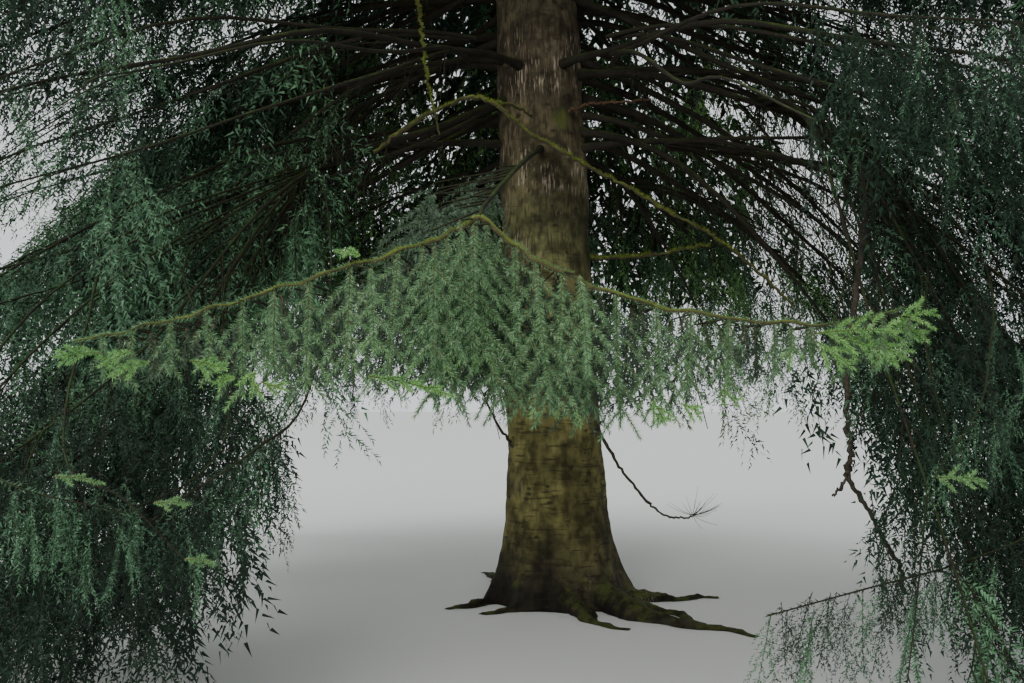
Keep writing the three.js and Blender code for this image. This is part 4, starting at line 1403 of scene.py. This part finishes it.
# Moss stays in clumps, by waves along x, and none hangs far below its root.
def clumped(mossy, waves, shift, scatter, least, hang, random):
    x = mossy[:, 0, 0]
    wave = np.sin(x * waves[0]) + np.sin(x * waves[1] + shift) + scatter * random.normal(size=len(mossy))
    return mossy[(wave > least) & (mossy[:, 2, 2] > mossy[:, 0, 2] - hang)]


# Combs to the left of the bough that carries the fork, with the darker shade needles: painted shade.
def growVeil(path, random):
    leaves = []
    for k in range(veil["count"]):
        part = veil["from"] + (veil["to"] - veil["from"]) * k / veil["count"]
        spot = alongPath(path, part)
        aside = veil["left"] * (0.1 + 0.9 * random.random()) * (1.25 - part)
        root = spot + np.array([-aside, 0.12 * random.normal(), -0.03 - 0.25 * aside])
        addLink(spot, root, 0.004)
        shoots = growSpray(veil["length"] * (0.8 + 0.4 * random.random()), veil["needles"], random)
        turn = turnOnce(
            math.pi + 0.3 * random.normal(), -0.35 + 0.15 * random.normal(), 0.15 * random.normal()
        )
        leaves.append(needlesOn(shoots @ turn.T + root, veil["needles"], random))
    return leaves


def growFrontBough():
    bough = boughsOf(lowerTiers[0], True, 1)[0]
    distance = np.linspace(0.22, 4.72, 18)
    azimuth = math.radians(bough["azimuth"])
    axisX, axisY = trunkAxis(bough["leave"])
    height = boughHeight(bough["leave"], bough["azimuth"], distance)
    x = axisX + distance * math.cos(azimuth)
    y = axisY + distance * math.sin(azimuth)
    path = np.stack([x, y, height], axis=1)
    path = np.concatenate([path, [fork["left"][0]]])
    share = np.linspace(0, 1, len(path))
    addWood("bough", [path], [0.007 + 0.012 * (1 - share) ** 1.1 + 0.02 * np.exp(-share * 24)], 9)
    return path


def makeFork(random):
    look = sprayLooks["front"]
    leafParts = {"front": [], "shade": growVeil(growFrontBough(), random), "tip": [], "moss": []}
    stemParts = []
    edgeX, edgeZ = zip(*fork["edge"])
    for side in ("left", "right"):
        arm = smoothPath(fork[side], 60)
        t = np.linspace(0, 1, len(arm))
        arm[2:, 2] += 0.004 * np.sin(t[2:] * 47) + 0.003 * np.sin(t[2:] * 83)
        radii = fork["tipRadius"] + (fork["armRadius"] - fork["tipRadius"]) * (1 - t)
        radii = radii * (1 + 0.16 * np.sin(t * 91) * np.sin(t * 37) + 0.1 * random.normal(size=len(t)))
        addWood("mossy_limb", [arm], [radii], 8)
        length = np.linalg.norm(np.diff(arm, axis=0), axis=1).sum()
        direction = arm[-1] - arm[0]
        yaw = math.atan2(direction[1], direction[0])
        combs = product(enumerate(fork["rows"]), range(int(length / fork["every"])))
        for (number, (back, drop, share, tone, perMetre, width)), k in combs:
            if random.random() > share:
                continue
            spot = alongPath(arm, min(0.985, (k + 0.3 + 0.4 * random.random()) * fork["every"] / length))
            root = spot + np.array([0.03 * random.normal() * (number > 0), back, drop])
            edge = np.interp(root[0], edgeX, edgeZ) + fork["edgeScatter"] * random.normal() + 0.02 * number
            if number:
                addLink(spot, root, 0.0035)
            shoots = growSpray(max(0.12, root[2] - edge), look, random)
            turn = turnOnce(yaw + 0.22 * random.normal(), 0.07 * random.normal(), 0.1 * random.normal())
            shoots = shoots @ turn.T + root
            sideLeaf = dict(look, perMetre=perMetre, width=width)
            mainLeaf = dict(sideLeaf, perMetre=perMetre * fork["mainShare"], **fork["mainNeedles"])
            leaf = needlesOn(shoots[:1], mainLeaf, random)
            leaf = np.concatenate([leaf, needlesOn(shoots[1:], sideLeaf, random)])
            low = leaf[:, 0, 2] < leaf[:, 0, 2].min() + fork["tipDepth"]
            tipped = low & (random.random() < fork["tipShare"]) & (tone == "front")
            leafParts[tone].append(leaf[~tipped])
            leafParts["tip"].append(leaf[tipped])
            stemParts.append(stemsOf(shoots if tone == "front" else shoots[:1]))
        leafParts["front"].append(needlesOn(arm[None, 4:], dict(look, **fork["armNeedles"]), random))
        mossy = needlesOn(arm[None, :34], dict(look, **fork["moss"]), random)
        leafParts["moss"].append(clumped(mossy, (61, 23), 0, 0.4, 0.5, 0.006, random))
    return {name: np.concatenate(parts) for name, parts in leafParts.items()}, stemParts


forkLeaves, forkStems = makeFork(random)
freshLeaves, freshStems = makeFresh(random)
forkLeaves["tip"] = np.concatenate([forkLeaves["tip"], freshLeaves["tip"]])
forkCounts = {name: len(leaf) for name, leaf in forkLeaves.items()}
print("fork needles:", forkCounts, "fresh", len(freshLeaves["fresh"]))

# Limbs that the picture shows one by one, mossy, dead or broken: kind, radii at both ends, moss, points.
oddLimbs = [
    ("mossy_limb", 0.016, 0.008, 1.0, [
        (-1.3, -1.1, 3.16), (-0.98, -1.15, 3.38), (-0.67, -1.2, 3.5), (-0.51, -1.2, 3.47),
        (-0.285, -1.2, 3.29), (-0.05, -1.2, 3.15), (0.152, -1.2, 3.03), (0.38, -1.2, 2.91),
        (0.6, -1.2, 2.77), (0.86, -1.2, 2.63), (1.2, -1.15, 2.4), (1.5, -1.1, 2.12)]),
    ("mossy_limb", 0.012, 0.006, 0.4, [
        (-0.67, -1.2, 3.5), (-0.5, -1.1, 3.52), (-0.3, -0.9, 3.51), (-0.22, -0.75, 3.49)]),
    ("mossy_limb", 0.022, 0.009, 1.0, [
        (0.15, -0.02, 2.6), (0.3, -0.05, 2.6), (0.52, -0.07, 2.6), (0.78, -0.1, 2.625), (1.15, -0.14, 2.69)]),
    ("dead_wood", 0.016, 0.009, 0.0, [
        (1.94, -0.82, 3.4), (1.7, -1.9, 2.75), (1.35, -2.8, 2.15), (1.16, -3.15, 1.7), (1.14, -3.2, 1.42),
        (1.16, -3.2, 1.27), (1.14, -3.2, 1.17), (1.235, -3.2, 0.99), (1.35, -3.2, 0.78),
        (1.375, -3.2, 0.64)]),
    ("dead_wood", 0.01, 0.004, 0.0, [(1.15, -3.2, 1.2), (1.1, -3.22, 1.11), (1.06, -3.22, 1.07)]),
    ("dead_wood", 0.015, 0.006, 0.0, [
        (0.12, -0.12, 2.05), (0.22, -0.22, 1.62), (0.29, -0.2, 1.27), (0.45, -0.2, 0.98), (0.66, -0.2, 0.72),
        (0.82, -0.2, 0.625), (0.98, -0.2, 0.63)]),
    ("dead_wood", 0.013, 0.005, 0.0, [
        (-0.3, -0.1, 1.08), (-0.44, -0.2, 1.25), (-0.6, -0.3, 1.6), (-0.72, -0.4, 2.1)]),
    ("mossy_limb", 0.009, 0.006, 1.0, [
        (-0.97, -1.6, 4.1), (-0.94, -1.62, 3.85), (-0.9, -1.6, 3.5), (-0.82, -1.58, 3.15)]),
    ("red_limb", 0.012, 0.008, 0.0, [
        (0.06, -0.25, 3.69), (0.22, -0.42, 3.7), (0.42, -0.45, 3.7), (0.66, -0.46, 3.72)]),
]
deadTuft = {"place": (0.98, -0.2, 0.64), "count": 26, "length": 0.2, "radius": 0.0022}
trunkTwigs = {
    "count": 34, "low": 2.7, "high": 3.4, "azimuth": -95, "turn": 38, "length": 0.34, "radius": 0.0014,
}


def makeOddLimbs(random):
    mossParts = []
    for kind, thick, thin, moss, points in oddLimbs:
        count = 9 * len(points)
        path = smoothPath(points, count)
        path[1:-1] += 0.005 * random.normal(size=(count - 2, 3))
        radii = thick + (thin - thick) * np.linspace(0, 1, count)
        addWood(kind, [path], [radii * (1 + 0.14 * random.normal(size=count))], 8)
        if moss:
            look = dict(sprayLooks["front"], **fork["moss"])
            look.update({"length": 0.012 + thick, "width": 0.007, "perMetre": 1400 * moss})
            mossy = needlesOn(path[None], look, random)
            mossParts.append(clumped(mossy, (31, 13), 1, 0.5, -0.4, 0.01, random))
    return np.concatenate(mossParts)


# Dead twigs: a tuft at the end of the low dead limb, and bare ones round the trunk's front.
def makeDeadTwigs(random):
    t = np.linspace(0, 1, 4)[:, None]
    tufts = []
    for _ in range(deadTuft["count"]):
        heading = unit(np.array([0.9, 0.5, 0.35]) * random.normal(size=3) + np.array([0.75, 0, 0.15]))
        length = deadTuft["length"] * (0.4 + 0.8 * random.random())
        tufts.append(np.array(deadTuft["place"]) + heading * length * t + np.array([0, 0, 0.05]) * t**2)
    addWood("dead_wood", tufts, deadTuft["radius"] * (1 - 0.6 * t[:, 0]), 3)
    bare = []
    for _ in range(trunkTwigs["count"]):
        z = trunkTwigs["low"] + (trunkTwigs["high"] - trunkTwigs["low"]) * random.random()
        azimuth = math.radians(trunkTwigs["azimuth"] + trunkTwigs["turn"] * random.normal())
        axisX, axisY = trunkAxis(z)
        radius = float(trunkRadius(z))
        start = np.array([axisX + radius * math.cos(azimuth), axisY + radius * math.sin(azimuth), z])
        heading = unit(np.array([random.normal(), -0.55, 0.35 * random.normal()]))
        length = trunkTwigs["length"] * (0.4 + 0.9 * random.random())
        curl = np.array([0.12 * random.normal(), -0.02, 0.1 * random.normal() - 0.05])
        bare.append(start + heading * length * t + curl * t**2)
    addWood("dead_wood", bare, trunkTwigs["radius"] * (1 - 0.5 * t[:, 0]), 3)


limbMoss = makeOddLimbs(random)
makeDeadTwigs(random)

# Trunk: lumps, upright fibres and dashes in the bark, ribs that run down into low surface roots.
trunkLook = {
    "columns": 108, "columnStep": 4, "fineTop": 5.2, "fineRow": 0.0245, "coarseRow": 0.25, "lumpSize": 2.1,
    "lump": 0.02, "knobSize": 8.0, "knob": 0.007, "fibre": 0.0045, "dash": 0.004, "grain": 0.0025,
    "ribs": 0.075, "ribWidth": 0.17, "ribHeight": 0.34,
}

# Azimuth, reach, thickness and bend of each root.
surfaceRoots = [
    (-56, 1.75, 0.13, 10), (-84, 1.15, 0.09, 14), (-122, 0.85, 0.11, -10), (-162, 0.95, 0.12, 12),
    (130, 1.25, 0.1, -12), (62, 1.4, 0.105, 8), (-12, 1.2, 0.12, 12), (-36, 1.3, 0.085, -8),
    (98, 1.0, 0.08, 8),
]


def barkRelief(x, y, z):
    look = trunkLook
    lump = noise.fractal(Vector((x, y, z * 0.7)) * look["lumpSize"], 1.0, 2.0, 3) * look["lump"]
    knob = noise.fractal(Vector((x, y, z)) * look["knobSize"], 0.8, 2.0, 2) * look["knob"]
    fibre = look["fibre"] * min(1.0, max(0.2, (z - 1.2) / 1.5))
    upright = noise.noise(Vector((x * 24, y * 24, z * 3))) * fibre
    across = noise.noise(Vector((x * 5, y * 5, z * 34))) * look["dash"] * min(1.0, max(0.2, (3.0 - z) / 1.5))
    return lump + knob + upright + across + noise.noise(Vector((x, y, z)) * 45) * look["grain"]


def trunkRing(z, columns):
    look = trunkLook
    turn = 2 * math.pi * np.arange(columns) / columns
    axisX, axisY = trunkAxis(z)
    radius = np.full(columns, float(trunkRadius(z)))
    for azimuth, _, thickness, _ in surfaceRoots:
        gap = (turn - math.radians(azimuth) + math.pi) % (2 * math.pi) - math.pi
        fade = np.exp(-((gap / look["ribWidth"]) ** 2) - z / look["ribHeight"])
        radius += look["ribs"] * (thickness / 0.1) * fade
    places = [(axisX + r * math.cos(a), axisY + r * math.sin(a), z) for r, a in zip(radius, turn)]
    relief = np.array([barkRelief(*place) for place in places])
    radius = radius + relief * np.clip(radius / 0.3, 0.25, 1)
    x = axisX + radius * np.cos(turn)
    y = axisY + radius * np.sin(turn)
    return np.stack([x, y, np.full(columns, z)], axis=1)


# Faces between rings of as many columns, from the ring that starts at a vertex.
def ringFaces(start, columns, rows):
    column = np.arange(columns)
    faces = []
    for row in range(rows):
        a = start + row * columns + column
        b = start + row * columns + (column + 1) % columns
        faces += [np.stack([a, b, b + columns], 1), np.stack([a, b + columns, a + columns], 1)]
    return faces


# Rings with many columns in view and fewer above, a row of faces between them, and a point at both ends.
def makeTrunk():
    look = trunkLook
    fineHeights = np.arange(0, look["fineTop"], look["fineRow"])
    coarseHeights = np.arange(look["fineTop"] + 0.05, crown["height"] - 0.05, look["coarseRow"])
    fine = look["columns"]
    step = look["columnStep"]
    coarse = fine // step
    fineStart = (len(fineHeights) - 1) * fine
    coarseStart = fineStart + fine
    faces = ringFaces(0, fine, len(fineHeights) - 1)
    for j in range(coarse):
        here = coarseStart + j
        there = coarseStart + (j + 1) % coarse
        lower = [fineStart + (j * step + k) % fine for k in range(step + 1)]
        half = step // 2
        bridge = [(lower[k], lower[k + 1], here) for k in range(half)] + [(lower[half], there, here)]
        faces.append(np.array(bridge + [(lower[k], lower[k + 1], there) for k in range(half, step)]))
    faces += ringFaces(coarseStart, coarse, len(coarseHeights) - 1)
    rings = [trunkRing(z, fine) for z in fineHeights] + [trunkRing(z, coarse) for z in coarseHeights]
    tipX, tipY = trunkAxis(crown["height"])
    points = np.concatenate([*rings, [(0, 0, 0), (tipX, tipY, crown["height"])]])
    tip = len(points) - 1
    column = np.arange(fine)
    faces.append(np.stack([np.full(fine, tip - 1), (column + 1) % fine, column], 1))
    last = coarseStart + (len(coarseHeights) - 1) * coarse
    column = np.arange(coarse)
    faces.append(np.stack([np.full(coarse, tip), last + column, last + (column + 1) % coarse], 1))
    return points, np.concatenate(faces)


rootLook = {
    "crest": 0.15, "crestPower": 2.2, "tip": 0.03, "power": 0.75, "sunk": 0.72, "swell": 0.8, "sides": 18,
    "inset": 0.45,
}


def makeRoots():
    look = rootLook
    parts = []
    inset = trunk["radius"] * look["inset"]
    t = np.linspace(0, 1, 44)
    for azimuth, reach, thickness, bend in surfaceRoots:
        wander = 0.045 * np.sin(t * 9 + azimuth) * t + 0.02 * np.sin(t * 23 + azimuth * 2) * t
        turned = np.radians(azimuth + bend * t**2) + wander
        distance = inset + (reach - inset) * t
        crest = reach * look["crest"] * (1 - t) ** look["crestPower"]
        radius = look["tip"] + (thickness - look["tip"]) * (1 - t) ** look["power"]
        radius = radius * (1 + look["swell"] * np.exp(-t / 0.16)) * (1 + 0.12 * np.sin(t * 17 + azimuth))
        level = crest - radius * look["sunk"]
        path = np.stack([distance * np.cos(turned), distance * np.sin(turned), level], axis=1)
        vertices, faces = tubes(path[None], radius[None], look["sides"])
        outward = unit(vertices - np.repeat(path, look["sides"], axis=0))
        lumps = np.array([noise.fractal(Vector(v) * 7, 0.9, 2.0, 3) * 0.3 for v in vertices])
        grain = np.array([noise.fractal(Vector(v) * 30, 0.9, 2.0, 2) * 0.09 for v in vertices])
        vertices = vertices + outward * ((lumps + grain) * np.repeat(radius, look["sides"]))[:, None]
        vertices[:, 2] = np.maximum(vertices[:, 2], 0)
        parts.append((vertices, faces))
    return parts


# Pieces: each rides on the root body, has a material slot and may replace solids.
counts = {}


def finishPiece(piece, nodes=()):
    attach(piece, "root")
    if nodes:
        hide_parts(*nodes)
    counts[piece.name] = len(piece.data.polygons)
    print(piece.name, counts[piece.name])


def nodesOf(start):
    return [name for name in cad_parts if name.startswith(start)]


finishPiece(addPiece("trunk_bark", *joined([makeTrunk(), *makeRoots()]), trunkBark), ["trunk"])

for kind, parts in wood.items():
    piece = addPiece(f"{kind}_wood", *joined(parts), limbMaterials[kind])
    finishPiece(piece, nodesOf("bough_") if kind == "bough" else ())

pieceLimit = 190000
# Sprays in shade get the dim needles, painted shade, and bright ones the backlit needles, painted light.
toneMaterials = {"shade": "dim", "bright": "backlit"}
for (tier, level, tone), parts in needles.items():
    loose = np.concatenate(parts)
    material = needleMaterials[toneMaterials.get(tone, "far" if level == "far" else "near")]
    for index in range(0, len(loose), pieceLimit):
        name = f"needles_{tier}_{level}_{tone}_{index // pieceLimit + 1}"
        piece = loosePiece(name, loose[index:index + pieceLimit], material)
        finishPiece(piece, nodesOf(f"foliage_{tier}_"))
# The fork's back rows and veil have the darker shade needles, painted shade; its front combs the lighter
# front needles.
for name in ("front", "shade", "tip"):
    piece = loosePiece(f"needles_fork_{name}", forkLeaves[name], needleMaterials[name])
    finishPiece(piece, ["foliage_low_1"])
finishPiece(loosePiece("fresh_tips", freshLeaves["fresh"], needleMaterials["fresh"]))
mossTufts = np.concatenate([forkLeaves["moss"], limbMoss])
finishPiece(loosePiece("moss_tufts", mossTufts, needleMaterials["moss"]))
stemPiece = addPiece("fork_stems", *joined(forkStems + freshStems), limbMaterials["shoot_stem"])
finishPiece(stemPiece)
finishPiece(loosePiece("spray_stems", np.concatenate(stems), limbMaterials["twig"]))
print("all triangles", sum(counts.values()))
